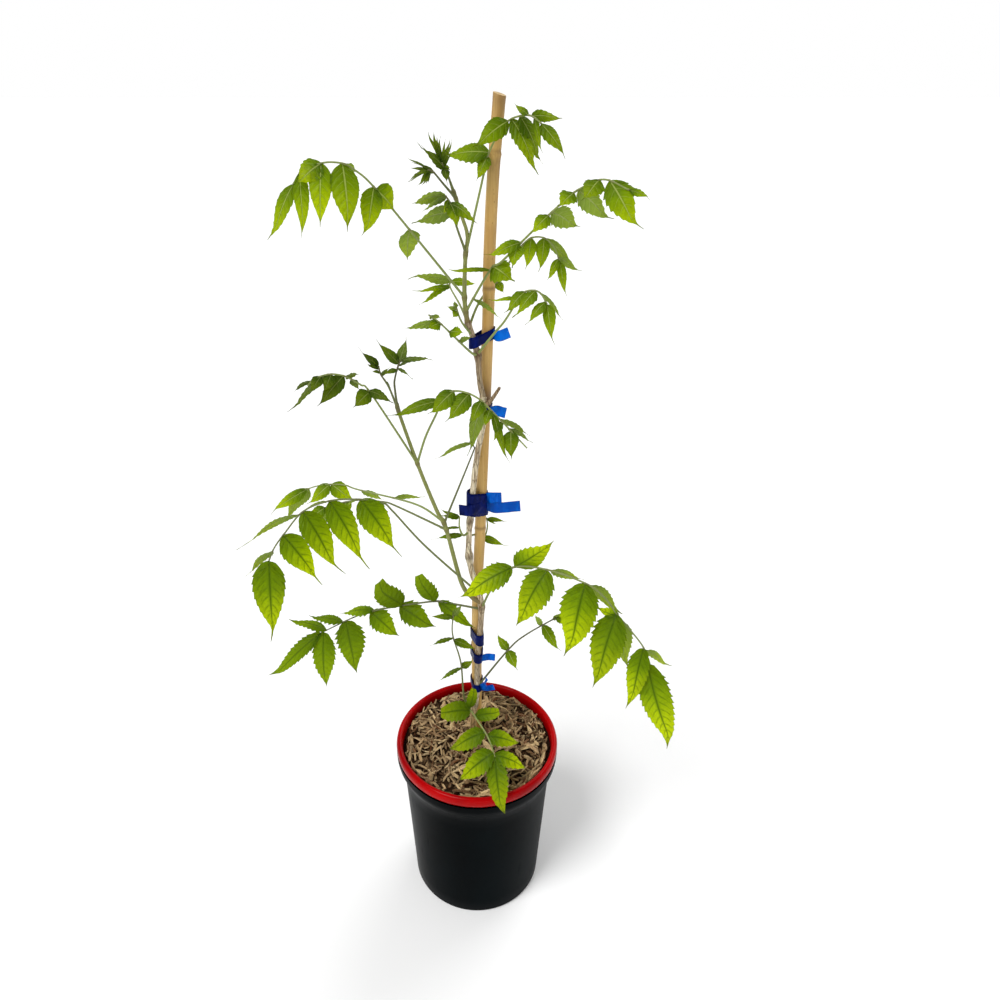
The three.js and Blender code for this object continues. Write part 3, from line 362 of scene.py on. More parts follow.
# A plain leaf, and how some leaves differ: how bright (yellow-green) from the stalk's foot to its end, how
# young (dark), how dark the stalk is, how far the teeth stand out as a share of the coarsest, where a
# blade's body ends and its thin tip begins, the places of leaflets with a blunt end, and whether the veins
# are darker than the blade
PLAIN_LEAF = dict(bright=(0.4, 0.4), young=0, stalk=0.1, teeth=0.35, end=0.88, blunt=(), dark_veins=False)
LEAF_LOOKS = {
    "leaf_upper_left": dict(bright=(0.6, 0.6), end=0.92),
    "leaf_top_right": dict(bright=(0.25, 0.25), young=0.15, teeth=0.6, end=0.89),
    "leaf_top_hanging": dict(young=0.2, stalk=0.6),
    "leaf_upper_right": dict(bright=(0.38, 0.38), teeth=0.9),
    "leaf_right_of_tie": dict(end=0.84),
    "leaf_left_of_tie": dict(bright=(0.22, 0.22), teeth=0.8),
    "bud_upper": dict(young=0.2, teeth=1.2),
    "leaf_middle_left": dict(young=0.72),
    "shoot_tip_right": dict(young=0.75, stalk=0.9, end=0.8),
    "shoot_tip_left": dict(young=0.85, stalk=0.7, end=0.74),
    "leaf_over_stake": dict(bright=(0.15, 0.15), young=0.24),
    "leaf_single": dict(stalk=0.8, end=0.9),
    "leaf_back_left": dict(bright=(0.55, 0.55)),
    "leaf_back_small": dict(bright=(0.55, 0.55), stalk=0.6),
    "leaf_front_left": dict(bright=(1, 1), stalk=0.5, teeth=0.45, end=0.82, dark_veins=True),
    "leaf_lower_left": dict(bright=(0.05, 0.05), young=0.08, stalk=0.8, teeth=1.1, end=0.95,
                            blunt=(0.26, 0.45), dark_veins=True),
    "leaf_front_right": dict(bright=(1, 1), stalk=0.3, teeth=0.8, end=0.95, dark_veins=True),
    "leaf_over_rim": dict(bright=(0, 0.75), teeth=0.95, end=1.03, blunt=(0.28, 0.34, 0.46),
                          dark_veins=True),
    "basal_shoot_left": dict(bright=(0.1, 0.1), young=0.35, stalk=0.6, teeth=0.7),
    "basal_shoot_right": dict(bright=(0.2, 0.2), stalk=0.9, teeth=0.8),
    "top_tip": dict(young=0.66, stalk=0.5, end=0.7),
    "top_side_tip": dict(young=0.66, stalk=0.7, end=0.68),
    "sprout_left": dict(young=0.4, end=0.75),
    "sprout_right": dict(young=0.3, end=0.74),
}

# Needle leaflets too fine for the solids, in the same form as a leaf's own
NEEDLES = {
    "top_tip": [(0.96, -12, -4, 28, 4.5), (0.97, -4, 3, 24, 3), (0.97, 3, -3, 21, 3), (0.97, 9, 2, 21, 3),
                (0.9, -20, 4, 16, 4), (0.9, 7, -4, -2, 3)],
    "top_side_tip": [(0.96, -21, 2, 11, 3), (0.96, -18, -3, 3, 3), (0.97, -19, -5, -10, 3),
                     (0.96, -14, 3, -3, 3), (0.96, -6, -4, -13, 3), (0.95, -2, 2, -11, 3)],
    "shoot_tip_left": [(0.97, -6, -2, 12, 3)],
    "sprout_left": [(0.98, -21, 8, 6, 4.5, -45), (0.62, -22, 2, -3, 4.5, -60)],
    "sprout_right": [(0.96, 11, 2, -7, 3)],
}


def smooth(low, high, value):
    """0 below low, 1 above high, eased between."""
    t = min(max((value - low) / (high - low), 0), 1)
    return t * t * (3 - 2 * t)


def between(ends, share):
    return ends[0] + (ends[1] - ends[0]) * share


def near(value, marks, reach):
    """1 at any of the marks, falling off within the reach."""
    return max(math.exp(-((value - mark) / reach) ** 2) for mark in marks)


def rough(place, scale, seed=0):
    """Smooth noise from -1 to 1 at a place in millimetres."""
    return noise.noise(Vector(place) / scale + Vector((seed, seed * 1.7, 0)))


def shares(steps):
    return [k / steps for k in range(steps + 1)]


def turns(count):
    """Angles at equal steps round a circle."""
    return [2 * math.pi * k / count for k in range(count)]


def circle(angle, radius=1):
    return radius * math.cos(angle), radius * math.sin(angle)


class Route:
    """A smooth curve through points, walked by length from 0 to 1."""

    def __init__(self, points, per_span=20):
        pts = [Vector(p) for p in points]
        ends = [2 * pts[0] - pts[1], *pts, 2 * pts[-1] - pts[-2]]
        self.points = []
        for a, b, c, d in zip(ends, ends[1:], ends[2:], ends[3:]):
            leave, arrive = (c - a) / 2, (d - b) / 2
            square = -3 * b + 3 * c - 2 * leave - arrive
            cube = 2 * b - 2 * c + leave + arrive
            for t in shares(per_span)[:-1]:
                self.points.append(b + leave * t + square * t**2 + cube * t**3)
        self.points.append(pts[-1])
        self.marks = [0.0]
        for a, b in zip(self.points, self.points[1:]):
            self.marks.append(self.marks[-1] + (b - a).length)
        self.length = self.marks[-1]

    def at(self, share):
        goal = min(max(share, 0), 1) * self.length
        low, high = 0, len(self.marks) - 1
        while high - low > 1:
            middle = (low + high) // 2
            if self.marks[middle] <= goal:
                low = middle
            else:
                high = middle
        span = self.marks[high] - self.marks[low]
        return self.points[low].lerp(self.points[high], (goal - self.marks[low]) / max(span, 1e-9))

    def heading(self, share):
        return (self.at(share + 0.004) - self.at(share - 0.004)).normalized()

    def nearest(self, target):
        return min(self.points, key=lambda p: (p - target).length)

    def level_at(self, z):
        """The place nearest to a height, brought down to height 0."""
        spot = min(self.points, key=lambda p: abs(p.z - z))
        return Vector((spot.x, spot.y, 0))


class Shape:
    """Vertices, faces and two vectors at each vertex, gathered for one mesh. Millimetres."""

    def __init__(self):
        self.points, self.faces, self.slots = [], [], []
        self.where, self.tone = [], []

    def point(self, place, where=(0, 0, 0), tone=(0, 0, 0)):
        self.points.append(tuple(place))
        self.where.append(tuple(where))
        self.tone.append(tuple(tone))
        return len(self.points) - 1

    def ring(self, radius, height, count):
        """A row of points round the upright axis."""
        return [self.point((*circle(angle, radius), height)) for angle in turns(count)]

    def face(self, corners, slot=0):
        self.faces.append(tuple(corners))
        self.slots.append(slot)

    def rings(self, rings, slot=0, closed=True, caps=(True, True)):
        """Faces between rows of equal length. A row may also be one point."""
        for a, b in zip(rings, rings[1:]):
            count = max(len(a), len(b))
            for i in range(count if closed else count - 1):
                j = (i + 1) % count
                corners = (a[i % len(a)], a[j % len(a)], b[j % len(b)], b[i % len(b)])
                self.face(dict.fromkeys(corners), slot)
        if closed and caps[0]:
            self.face(reversed(rings[0]), slot)
        if closed and caps[1]:
            self.face(rings[-1], slot)

    def build(self, name, *materials, sharp=None):
        """The finished object, with edges over the sharp angle shaded as edges."""
        mesh = bpy.data.meshes.new(name)
        mesh.from_pydata([(x * MM, y * MM, z * MM) for x, y, z in self.points], [], self.faces)
        for key, rows in (("where", self.where), ("tone", self.tone)):
            values = mesh.attributes.new(key, "FLOAT_VECTOR", "POINT").data
            values.foreach_set("vector", [v for row in rows for v in row])
        for material in materials:
            mesh.materials.append(material)
        mesh.polygons.foreach_set("material_index", self.slots)
        mesh.polygons.foreach_set("use_smooth", [True] * len(mesh.polygons))
        mesh.validate()
        if sharp:
            mesh.set_sharp_from_angle(angle=math.radians(sharp))
        return add_object(name, mesh)


def add_object(name, data):
    made = bpy.data.objects.new(name, data)
    bpy.context.scene.collection.objects.link(made)
    return made


def place_piece(piece, slot, *nodes):
    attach(piece, "root")
    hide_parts(*nodes)


def tube(shape, route, radius_at, sides, steps, tone_at, slot=0, caps=(True, True)):
    """A tube along a route. radius_at takes the share of the length, the centre and the angle, and
    tone_at the share and the place."""
    normal = route.heading(0).orthogonal().normalized()
    rows = []
    for share in shares(steps):
        centre, heading = route.at(share), route.heading(share)
        normal = (normal - heading * normal.dot(heading)).normalized()
        other = heading.cross(normal)
        row = []
        for angle in turns(sides):
            out = normal * math.cos(angle) + other * math.sin(angle)
            spot = centre + out * radius_at(share, centre, angle)
            row.append(shape.point(spot, (angle, share * route.length, share), tone_at(share, spot)))
        rows.append(row)
    shape.rings(rows, slot, caps=caps)
    return rows


def tint(red, green, blue):
    """A colour as seen on screen, as linear light."""
    channels = [c / 255 for c in (red, green, blue)]
    return (*[c / 12.92 if c < 0.04 else ((c + 0.055) / 1.055) ** 2.4 for c in channels], 1)


class Look:
    """A material with one main shader, and short calls for the nodes before it."""

    def __init__(self, name, roughness=0.5, specular=0.5):
        self.material = bpy.data.materials.new(name)
        self.material.use_nodes = True
        self.tree = self.material.node_tree
        self.shader = self.tree.nodes["Principled BSDF"]
        self.shader.inputs["Roughness"].default_value = roughness
        self.shader.inputs["Specular IOR Level"].default_value = specular
        self.place = self.add("TexCoord", {}, "Object")

    def put(self, socket, value):
        if isinstance(value, bpy.types.NodeSocket):
            self.tree.links.new(value, socket)
        elif value is not None:
            socket.default_value = value

    def add(self, kind, inputs, output=0, **settings):
        """One output of a new node. Its inputs are numbers, colours or other nodes' outputs."""
        node = self.tree.nodes.new(f"ShaderNode{kind}")
        for name, value in settings.items():
            setattr(node, name, value)
        for key, value in inputs.items():
            self.put(node.inputs[key], value)
        return node.outputs[output]

    def attribute(self, name):
        """A vector kept at the vertices, and its three numbers."""
        vector = self.add("Attribute", {}, "Vector", attribute_name=name)
        return vector, *self.add("SeparateXYZ", {0: vector}).node.outputs

    def stretched(self, stretch, vector=None):
        """Coordinates scaled along each axis, the object's own if no others are given."""
        vector = self.place if vector is None else vector
        if stretch is None:
            return vector
        return self.add("VectorMath", {0: vector, 1: stretch}, operation="MULTIPLY")

    def noise(self, scale, detail=4, stretch=None, rough=0.55, distortion=0, vector=None):
        inputs = {"Vector": self.stretched(stretch, vector), "Scale": scale, "Detail": detail,
                  "Roughness": rough, "Distortion": distortion}
        return self.add("TexNoise", inputs, "Fac")

    def cells(self, scale, stretch=None, feature="F1"):
        inputs = {"Vector": self.stretched(stretch), "Scale": scale}
        return self.add("TexVoronoi", inputs, "Distance", feature=feature)

    def math(self, operation, *values):
        return self.add("Math", dict(enumerate(values)), operation=operation)

    def times(self, first, second):
        return self.math("MULTIPLY", first, second)

    def plus(self, first, second):
        return self.math("ADD", first, second)

    def step(self, value, low, high, start=0.0, end=1.0):
        """start below low and end above high, eased between."""
        if low > high:
            low, high, start, end = high, low, end, start
        inputs = dict(enumerate((value, low, high, start, end)))
        return self.add("MapRange", inputs, interpolation_type="SMOOTHSTEP")

    def mix(self, share, first, second):
        return self.add("Mix", {0: share, 6: first, 7: second}, 2, data_type="RGBA")

    def coats(self, colour, *coats):
        """Colours laid one over another. Each coat is where it lies, its strength and its colour."""
        for share, strength, top in coats:
            colour = self.mix(self.times(share, strength), colour, top)
        return colour

    def bump(self, height, distance, strength=1.0):
        return self.add("Bump", {"Height": height, "Distance": distance, "Strength": strength})

    def finish(self, colour, roughness=None, normal=None):
        self.put(self.shader.inputs["Base Color"], colour)
        self.put(self.shader.inputs["Roughness"], roughness)
        self.put(self.shader.inputs["Normal"], normal)
        return self.material

    def let_through(self, share, colour, normal):
        """Light passes through the sheet, in that share."""
        behind = self.add("BsdfTranslucent", {"Color": colour, "Normal": normal})
        blend = self.add("MixShader", {0: share, 1: self.shader.outputs[0], 2: behind})
        self.put(self.tree.nodes["Material Output"].inputs["Surface"], blend)


def blade_look():
    """Leaf blade: darker along the side veins, brighter between them, pale underneath, with a painted dark
    outline of shade along the margin.
    where is (vein count, share of the half width, share of the length); tone is (chance, plus 2
    where the veins are dark; bright; young)."""
    look = Look("leaf_blade", 0.45, 0.09)
    _, veins, out, along = look.attribute("where")
    _, drawn, bright, young = look.attribute("tone")
    chance, dark_veins = look.math("MODULO", drawn, 2), look.step(drawn, 1.4, 1.6)
    off_rib = look.math("ABSOLUTE", out)
    sway = look.times(look.math("SUBTRACT", look.noise(55, 3), 0.5), 0.3)
    off_vein = look.math("PINGPONG", look.times(look.plus(veins, sway), 0.9), 0.5)
    reach = look.step(off_rib, 0, 1, 0.3, 0.1)
    beside_vein = look.step(look.math("DIVIDE", off_vein, reach), 1, 0.1)
    beside_vein = look.times(beside_vein, look.step(off_rib, 1, 0.5))
    beside_rib = look.step(look.plus(off_rib, look.times(along, 0.16)), 0.32, 0.04)
    shaded = look.math("MAXIMUM", look.times(beside_vein, look.step(bright, 0.3, 1, 0.14, 0.6)), beside_rib)
    side_lines = look.times(look.step(off_vein, 0.04, 0.012), look.step(off_rib, 0.9, 0.5))
    lines = look.math("MAXIMUM", look.times(side_lines, 0.6), look.step(off_rib, 0.075, 0.03))
    line = look.mix(dark_veins, tint(184, 198, 104), tint(48, 78, 2))
    line = look.mix(young, line, tint(110, 116, 60))
    broad, fine = look.noise(34), look.noise(520, 5)
    ripe = look.step(look.plus(along, look.times(broad, 0.3)), 0.3, 0.95)
    dull = look.mix(ripe, tint(84, 116, 0), tint(122, 150, 0))
    fresh = look.mix(ripe, tint(112, 146, 0), tint(200, 218, 0))
    colour = look.coats(
        look.mix(bright, dull, fresh),
        (shaded, 0.8, look.mix(bright, tint(62, 88, 2), tint(74, 106, 0))),
        (look.step(look.plus(along, look.times(broad, 0.55)), 0.78, 0.22), 0.7, tint(42, 72, 0)),
        (look.step(broad, 0.5, 0.72), 0.4, tint(78, 104, 4)),
        (look.step(chance, 0.35, 1), 0.4, tint(68, 94, 6)),
        (look.step(fine, 0.48, 0.7), 0.25, tint(48, 70, 4)),
        (young, 0.9, tint(38, 56, 12)),
        # Painted shade: a dark outline along the blade's margin
        (look.step(off_rib, 0.9, 1), 0.4, tint(72, 84, 12)),
        (lines, 0.65, line),
    )
    below = look.mix(look.step(young, 0, 0.8, 0.4, 0.15), colour, tint(146, 164, 92))
    dry_end = (look.step(along, 0.85, 0.97), 0.8, tint(60, 64, 34))
    below = look.coats(below, (lines, 0.6, tint(186, 198, 134)), dry_end)
    colour = look.mix(look.add("NewGeometry", {}, "Backfacing"), look.coats(colour, dry_end), below)
    puff = look.times(look.step(off_vein, 0, 0.5), look.step(off_rib, 0.02, 0.3))
    height = look.plus(look.plus(look.times(lines, -0.5), look.times(fine, 0.4)), look.times(puff, 0.9))
    normal = look.bump(height, 0.0007, 0.75)
    through = look.mix(young, look.mix(0.5, colour, tint(178, 206, 0)), colour)
    look.let_through(0.3, through, normal)
    return look.finish(colour, look.step(fine, 0.3, 0.7, 0.34, 0.52), normal)


def stalk_look():
    """Leaf stalk: pale green, browner where it is dark and near the leaflets. tone is (0, dark, joint)."""
    look = Look("leaf_stalk", 0.5, 0.4)
    _, _, dark, joint = look.attribute("tone")
    grain = look.noise(90, 5, (12, 12, 1.5))
    colour = look.mix(grain, tint(150, 162, 92), tint(108, 124, 50))
    colour = look.coats(colour, (dark, 1, tint(66, 64, 44)), (joint, 0.5, tint(96, 84, 52)))
    return look.finish(colour, normal=look.bump(grain, 0.0003, 0.5))


def shoot_look():
    """Green shoot bark with pale streaks and small corky dots. tone is (0, young, joint)."""
    look = Look("shoot_bark", 0.52, 0.35)
    _, _, _, share = look.attribute("where")
    _, _, young, joint = look.attribute("tone")
    streak = look.noise(60, 6, (14, 14, 1))
    colour = look.coats(
        look.mix(streak, tint(152, 154, 88), tint(96, 110, 38)),
        (look.step(look.cells(700), 0.3, 0.16), 0.55, tint(180, 168, 130)),
        (look.step(share, 0.16, 0), 0.8, tint(122, 96, 66)),
        (joint, 0.6, tint(98, 82, 48)),
        (young, 0.7, tint(84, 82, 48)),
    )
    return look.finish(colour, normal=look.bump(streak, 0.0004, 0.6))


def bark_look():
    """Trunk bark: pale papery flakes over brown, darker at the nodes. tone is (tan, brown, node)."""
    look = Look("vine_bark", 0.85, 0.15)
    _, tan, brown, joint = look.attribute("tone")
    flakes = look.noise(300, 8, (1, 1, 0.14), 0.65, 1.2)
    strips = look.noise(900, 6, (1, 1, 0.06))
    cracks = look.step(look.cells(420, (1.02, 1.02, 0.14), "DISTANCE_TO_EDGE"), 0.1, 0)
    colour = look.coats(
        look.mix(look.step(flakes, 0.32, 0.56), tint(142, 114, 78), tint(238, 224, 194)),
        (look.step(strips, 0.52, 0.7), 0.5, tint(166, 142, 108)),
        (tan, 0.8, tint(196, 156, 94)),
        (brown, 0.75, tint(128, 96, 62)),
        (cracks, 0.6, tint(70, 52, 34)),
        (joint, 0.75, tint(82, 60, 40)),
    )
    height = look.math("SUBTRACT", look.plus(flakes, look.times(strips, 0.5)), look.times(cracks, 0.5))
    return look.finish(colour, normal=look.bump(height, 0.0012, 0.9))


def cane_look():
    """Bamboo: tan with fine upright fibres, brown rings and stains. tone is (ring, stain, cut end)."""
    look = Look("bamboo", 0.48, 0.4)
    _, ring, stain, cut = look.attribute("tone")
    fibre = look.noise(1500, 6, (1, 1, 0.012))
    bands = look.noise(160, 4, (1, 1, 0.05))
    cloud = look.noise(26, 5, (1, 1, 0.5))
    colour = look.coats(
        look.mix(look.step(bands, 0.35, 0.65), tint(210, 174, 104), tint(190, 149, 74)),
        (look.step(fibre, 0.45, 0.62), 0.45, tint(176, 138, 80)),
        (look.step(cloud, 0.52, 0.68), 0.45, tint(170, 126, 70)),
        (look.step(look.cells(260, (1, 1, 0.45)), 0.16, 0.06), 0.45, tint(110, 78, 44)),
        (stain, look.step(cloud, 0.36, 0.56), tint(104, 74, 44)),
        (ring, 0.7, tint(120, 88, 52)),
    )
    pores = (look.step(look.cells(1500), 0.42, 0.2), 0.6, tint(120, 92, 56))
    colour = look.mix(cut, colour, look.coats(tint(214, 186, 134), pores))
    height = look.plus(look.times(fibre, 0.6), bands)
    return look.finish(colour, look.step(fibre, 0.3, 0.7, 0.42, 0.6), look.bump(height, 0.0004, 0.6))


def chip_look():
    """Shredded bark. where is the place along and across the chip; tone is (shade, red, layer), and the chips
    of the lower layers are given a painted shade, near black.
    """
    look = Look("bark_chips", 0.9, 0.06)
    where, *_ = look.attribute("where")
    _, shade, red, painted_shade_layer = look.attribute("tone")
    grain = look.noise(1, 7, (0.08, 1.5, 1.5), 0.6, vector=where)
    blotch = look.noise(0.14, vector=where)
    colour = look.coats(
        look.mix(look.step(shade, 0, 0.85), tint(84, 46, 20), tint(236, 204, 152)),
        (red, 0.5, tint(132, 70, 36)),
        (look.step(grain, 0.48, 0.62), 0.7, tint(46, 18, 4)),
        (look.step(grain, 0.45, 0.33), 0.9, tint(250, 228, 188)),
        (look.step(blotch, 0.55, 0.72), 0.4, tint(74, 46, 26)),
        # Painted shade: chips in the lower layers are darkened nearly to black, as the shade between the
        # chips above them
        (look.step(painted_shade_layer, 0.92, 0.48), 0.97, tint(34, 12, 2)),
    )
    return look.finish(colour, normal=look.bump(grain, 0.0014))


def soil_look():
    """Dark crumbs of composted bark."""
    look = Look("potting_mix", 0.95, 0.15)
    crumbs = look.noise(420, 8, rough=0.7)
    colour = look.mix(look.step(crumbs, 0.4, 0.66), tint(20, 8, 3), tint(66, 36, 18))
    height = look.plus(crumbs, look.times(look.cells(260), -0.6))
    return look.finish(colour, normal=look.bump(height, 0.003))


def black_look():
    """Moulded black plastic with a faint haze, a fine texture and dull scuffs."""
    look = Look("pot_black", 0.3, 0.018)
    haze = look.noise(9, 6, (1, 1, 0.6))
    scuffs = look.noise(60, 8, (3, 3, 0.4), 0.7)
    colour = look.mix(look.step(haze, 0.35, 0.7), tint(0, 2, 3), tint(2, 9, 12))
    colour = look.coats(colour, (look.step(scuffs, 0.62, 0.78), 0.012, tint(92, 96, 94)))
    rough = look.plus(look.step(haze, 0.3, 0.7, 0.33, 0.42), look.step(scuffs, 0.58, 0.72, 0, 0.14))
    return look.finish(colour, rough, look.bump(look.noise(1500, 3), 0.00002, 0.2))


def red_look():
    """Glossy red plastic with fine scratches and a little bark dust."""
    look = Look("pot_red", 0.28, 0.07)
    dust = look.noise(240, 8, rough=0.72)
    scratch = look.noise(40, 9, (2, 2, 9), 0.75)
    colour = look.mix(look.step(look.noise(16, 5), 0.35, 0.7), tint(174, 0, 2), tint(140, 0, 4))
    colour = look.coats(colour, (look.step(dust, 0.64, 0.76), 0.25, tint(150, 76, 50)))
    rough = look.plus(look.step(scratch, 0.45, 0.7, 0.2, 0.34), look.step(dust, 0.6, 0.72, 0, 0.3))
    return look.finish(colour, rough, look.bump(scratch, 0.00006, 0.25))


def tape_look():
    """Blue stretch tape: navy where it is wound in layers, bright where light comes through one. Pale streaks
    on the layered band are painted highlights.
    where is (place along, share of the half width); tone is (layers)."""
    look = Look("tie_tape", 0.3, 0.1)
    _, _, across, _ = look.attribute("where")
    _, layers, _, _ = look.attribute("tone")
    wrinkle = look.noise(130, 6, (1, 1, 0.35))
    streak = look.noise(520, 5, (1, 1, 0.14))
    creased = look.step(wrinkle, 0.35, 0.65)
    single = look.mix(creased, tint(0, 82, 176), tint(0, 116, 220))
    double = look.mix(creased, tint(0, 0, 66), tint(0, 4, 104))
    # Painted highlights: pale upright streaks over the layered band
    double = look.coats(double, (look.step(streak, 0.64, 0.74), 0.4, tint(70, 96, 186)))
    edge = (look.step(look.math("ABSOLUTE", across), 0.86, 1), 0.5, tint(0, 10, 84))
    colour = look.coats(look.mix(layers, single, double), edge)
    normal = look.bump(wrinkle, 0.0012, 0.6)
    look.let_through(0.25, look.mix(layers, tint(0, 140, 255), tint(0, 20, 130)), normal)
    return look.finish(colour, look.step(wrinkle, 0.3, 0.7, 0.2, 0.38), normal)


def floor_look():
    look = Look("floor", 0.9, 0.2)
    return look.finish(look.mix(look.noise(3), tint(252, 252, 252), tint(249, 249, 249)))


def facing(heading, along, turn):
    """The way a leaflet's upper face looks: up and away from its stalk, turned about its midrib."""
    side = Vector((-heading.y, heading.x, 0))
    if side.length < 1e-4:
        side = Vector((1, 0, 0))
    side.normalize()
    if side.dot(along) < 0:
        side.negate()
    face = UP + side * BLADE_OUTWARD
    face = (face - along * face.dot(along)).normalized()
    turn = math.radians(turn)
    return face * math.cos(turn) + along.cross(face) * math.sin(turn)


def half_outline(t, end):
    """Half width of a blade, 1 at its widest. The body stops at end, and a thin tip runs on to 1."""
    t = min(max(t, 0), 1)
    share = min(t / end, 1)
    return 3.58 * share**0.66 * (1 - share) ** 1.33 + 0.11 * smooth(0.3, 0.8, t) * (1 - t) ** 0.4


def tip_curve(t):
    """How far a blade swings off the line from its base to its tip: most before the tip."""
    return (t / 0.76) ** 1.7 if t < 0.76 else 1 - ((t - 0.76) / 0.24) ** 1.4


def blade_rows(length, chance):
    """Places along a blade's edge as (place, vein count, how far a tooth stands out)."""
    teeth = max(3, round(2.4 + length / 13))
    pitch = (LAST_TOOTH - FIRST_TOOTH) / teeth
    rows = [(t, t / FIRST_TOOTH - 1, 1) for t in (0, 0.012, 0.035, 0.07)]
    for tooth in range(teeth):
        size = chance.uniform(0.75, 1.25) * (1 - 0.45 * tooth / teeth)
        for phase, out in TOOTH_ROWS:
            rows.append((FIRST_TOOTH + (tooth + phase) * pitch, tooth + phase, 1 + (out - 1) * size))
    rows += [(t, teeth + (t - LAST_TOOTH) / pitch, 1) for t in (LAST_TOOTH, 0.87, 0.92, 0.96, 0.985, 1)]
    return rows


def add_blade(shape, base, reach, face, width, tone, chance, hanging, teeth, end):
    """A toothed blade, arched along its length and folded at its midrib, with a rib below."""
    length, along = reach.length, reach.normalized()
    across = along.cross(face)
    edges = blade_rows(length, chance), blade_rows(length, chance)
    sag = -UP + along * along.z
    sag = sag.normalized() if sag.length > 0.2 else Vector()
    bend = BLADE_BEND * length * chance.uniform(0.6, 1.3)
    if hanging:
        sag = across * chance.choice((-1, 1))
        bend *= 0.8
    twist = math.radians(chance.uniform(-7, 7))
    skew = chance.uniform(-0.06, 0.06)
    wave = chance.uniform(0, 6.3)
    ripple = chance.uniform(0.02, 0.045) * width
    hook = chance.uniform(-0.5, 1) * TIP_HOOK * length

    def spot(t, s, tooth):
        """The place at t of the length and s of the half width."""
        right = s > 0
        size = half_outline(t, end) * width / 2 * (1 + skew * (1 if right else -1))
        share = abs(s) * (1 + (tooth - 1) * teeth * smooth(0.6, 1, abs(s)))
        out = math.copysign(max(size, 0.12) * share, s)
        lift = BLADE_ARCH * length * 4 * t * (1 - t) - BLADE_FOLD * abs(out)
        veins = t * (2.4 + length / 13) * 1.35
        lift += 0.035 * width * math.cos(2 * math.pi * veins) * smooth(0.1, 0.5, abs(s)) * smooth(1, 0.8, t)
        lift += ripple * math.sin(wave + 9 * t + (2 if right else 0)) * abs(s) ** 2
        lift -= 0.22 * min(width / 20, 1) * (1 - smooth(0, 0.16, abs(s)))
        angle = twist * (t - 0.3)
        sideways = across * math.cos(angle) + face * math.sin(angle)
        upward = face * math.cos(angle) - across * math.sin(angle)
        swing = across * (hook * smooth(0.55, 1.1, t) ** 1.5)
        place = base + along * (length * t) + sideways * out + upward * lift
        return place + sag * (bend * tip_curve(t)) + swing

    body = min(1 / end, 1)
    rib_places = [t - smooth(0, 0.3, t) * VEIN_SLANT * math.sqrt(max(1 - t, 0)) for t, _, _ in edges[0]]
    rib = []
    for t, (_, veins, _) in zip(rib_places, edges[0]):
        rib.append(shape.point(spot(t, 0, 1), (veins, 0, t * body), tone))
    for hand, edge in zip((-1, 1), edges):
        grid = [[point] for point in rib]
        for column in BLADE_COLUMNS[1:]:
            for row, t_rib, (t_edge, veins, tooth) in zip(grid, rib_places, edge):
                t = t_rib + (t_edge - t_rib) * column**1.3
                row.append(shape.point(spot(t, hand * column, tooth), (veins, hand * column, t * body), tone))
        # The left half's rows are taken from the tip down, so that its faces look up too
        shape.rings(grid[::hand], closed=False)

    rib_radius = 0.1 + width * 0.008
    line = Route([spot(0.93 * t, 0, 1) - face * rib_radius * 0.85 for t in shares(14)], 4)
    tube(shape, line, lambda share, *_: rib_radius * (1 - 0.75 * share), 5, 16, lambda *_: (0, 0.2, 0), 1)


CARRIERS = {
    "trunk": Route(TRUNK_ROUTE),
    "side_shoot": Route(SIDE_SHOOT_ROUTE),
    "upper_shoot": Route(UPPER_SHOOT_ROUTE),
}


def leaf(name, carrier, points, leaflets, materials, seed):
    """A pinnate leaf: a stalk that swells where its leaflets leave it, and the blades."""
    chance = random.Random(seed)
    looks = {**PLAIN_LEAF, **LEAF_LOOKS.get(name, {})}
    route = Route([CARRIERS[carrier].nearest(Vector(points[0])), *points[1:]])
    shape = Shape()
    joints = [place * route.length for place, *_ in leaflets]

    def radius(share, *_):
        run = share * route.length
        swell = 1 + 0.22 * near(run, joints, 1.6) + 0.35 * near(run, [0], 5)
        return (between(STALK_RADII, share) + 0.03 * math.sin(run * 1.7)) * swell

    def tone_at(share, _):
        run = share * route.length
        return 0, looks["stalk"] * (0.8 + 0.2 * share), max(near(run, joints, 1.3), near(run, [0], 4))

    tube(shape, route, radius, STALK_SIDES, max(18, round(route.length / STALK_STEP)), tone_at, 1)
    for place, dx, dy, dz, width, *turn in [*leaflets, *NEEDLES.get(name, [])]:
        reach = Vector((dx, dy, dz))
        along = reach.normalized()
        face = facing(route.heading(place), along, sum(turn))
        lean = chance.uniform(-0.06, 0.06)
        vein_kind = chance.random() + 2 * looks["dark_veins"]
        shade = min(max(between(looks["bright"], place) + chance.uniform(-0.18, 0.14), 0), 1)
        age = looks["young"]
        if age:
            age = min(max(age + chance.uniform(-0.1, 0.1), 0), 1)
        face = (face + along.cross(face) * lean).normalized()
        end = looks["end"] if width > NARROW else NARROW_END
        if place in looks["blunt"]:
            end = BLUNT_END
        hanging = place >= STALK_END
        tone = (vein_kind, shade, age)
        add_blade(shape, route.at(place), reach, face, width, tone, chance, hanging, looks["teeth"], end)
    slot = "leaf_young" if "tip" in name else "leaf"
    place_piece(shape.build(f"{name}_detail", *materials), slot, name)


def stub(shape, points, radii, brown):
    """A short dry twig on the stem."""

    def radius(share, centre, angle):
        return between(radii, share) + 0.3 * rough((*circle(angle, 3), centre.x), 1.5)

    tube(shape, Route(points), radius, STUB_SIDES, STUB_STEPS, lambda *_: (0, brown, 0))


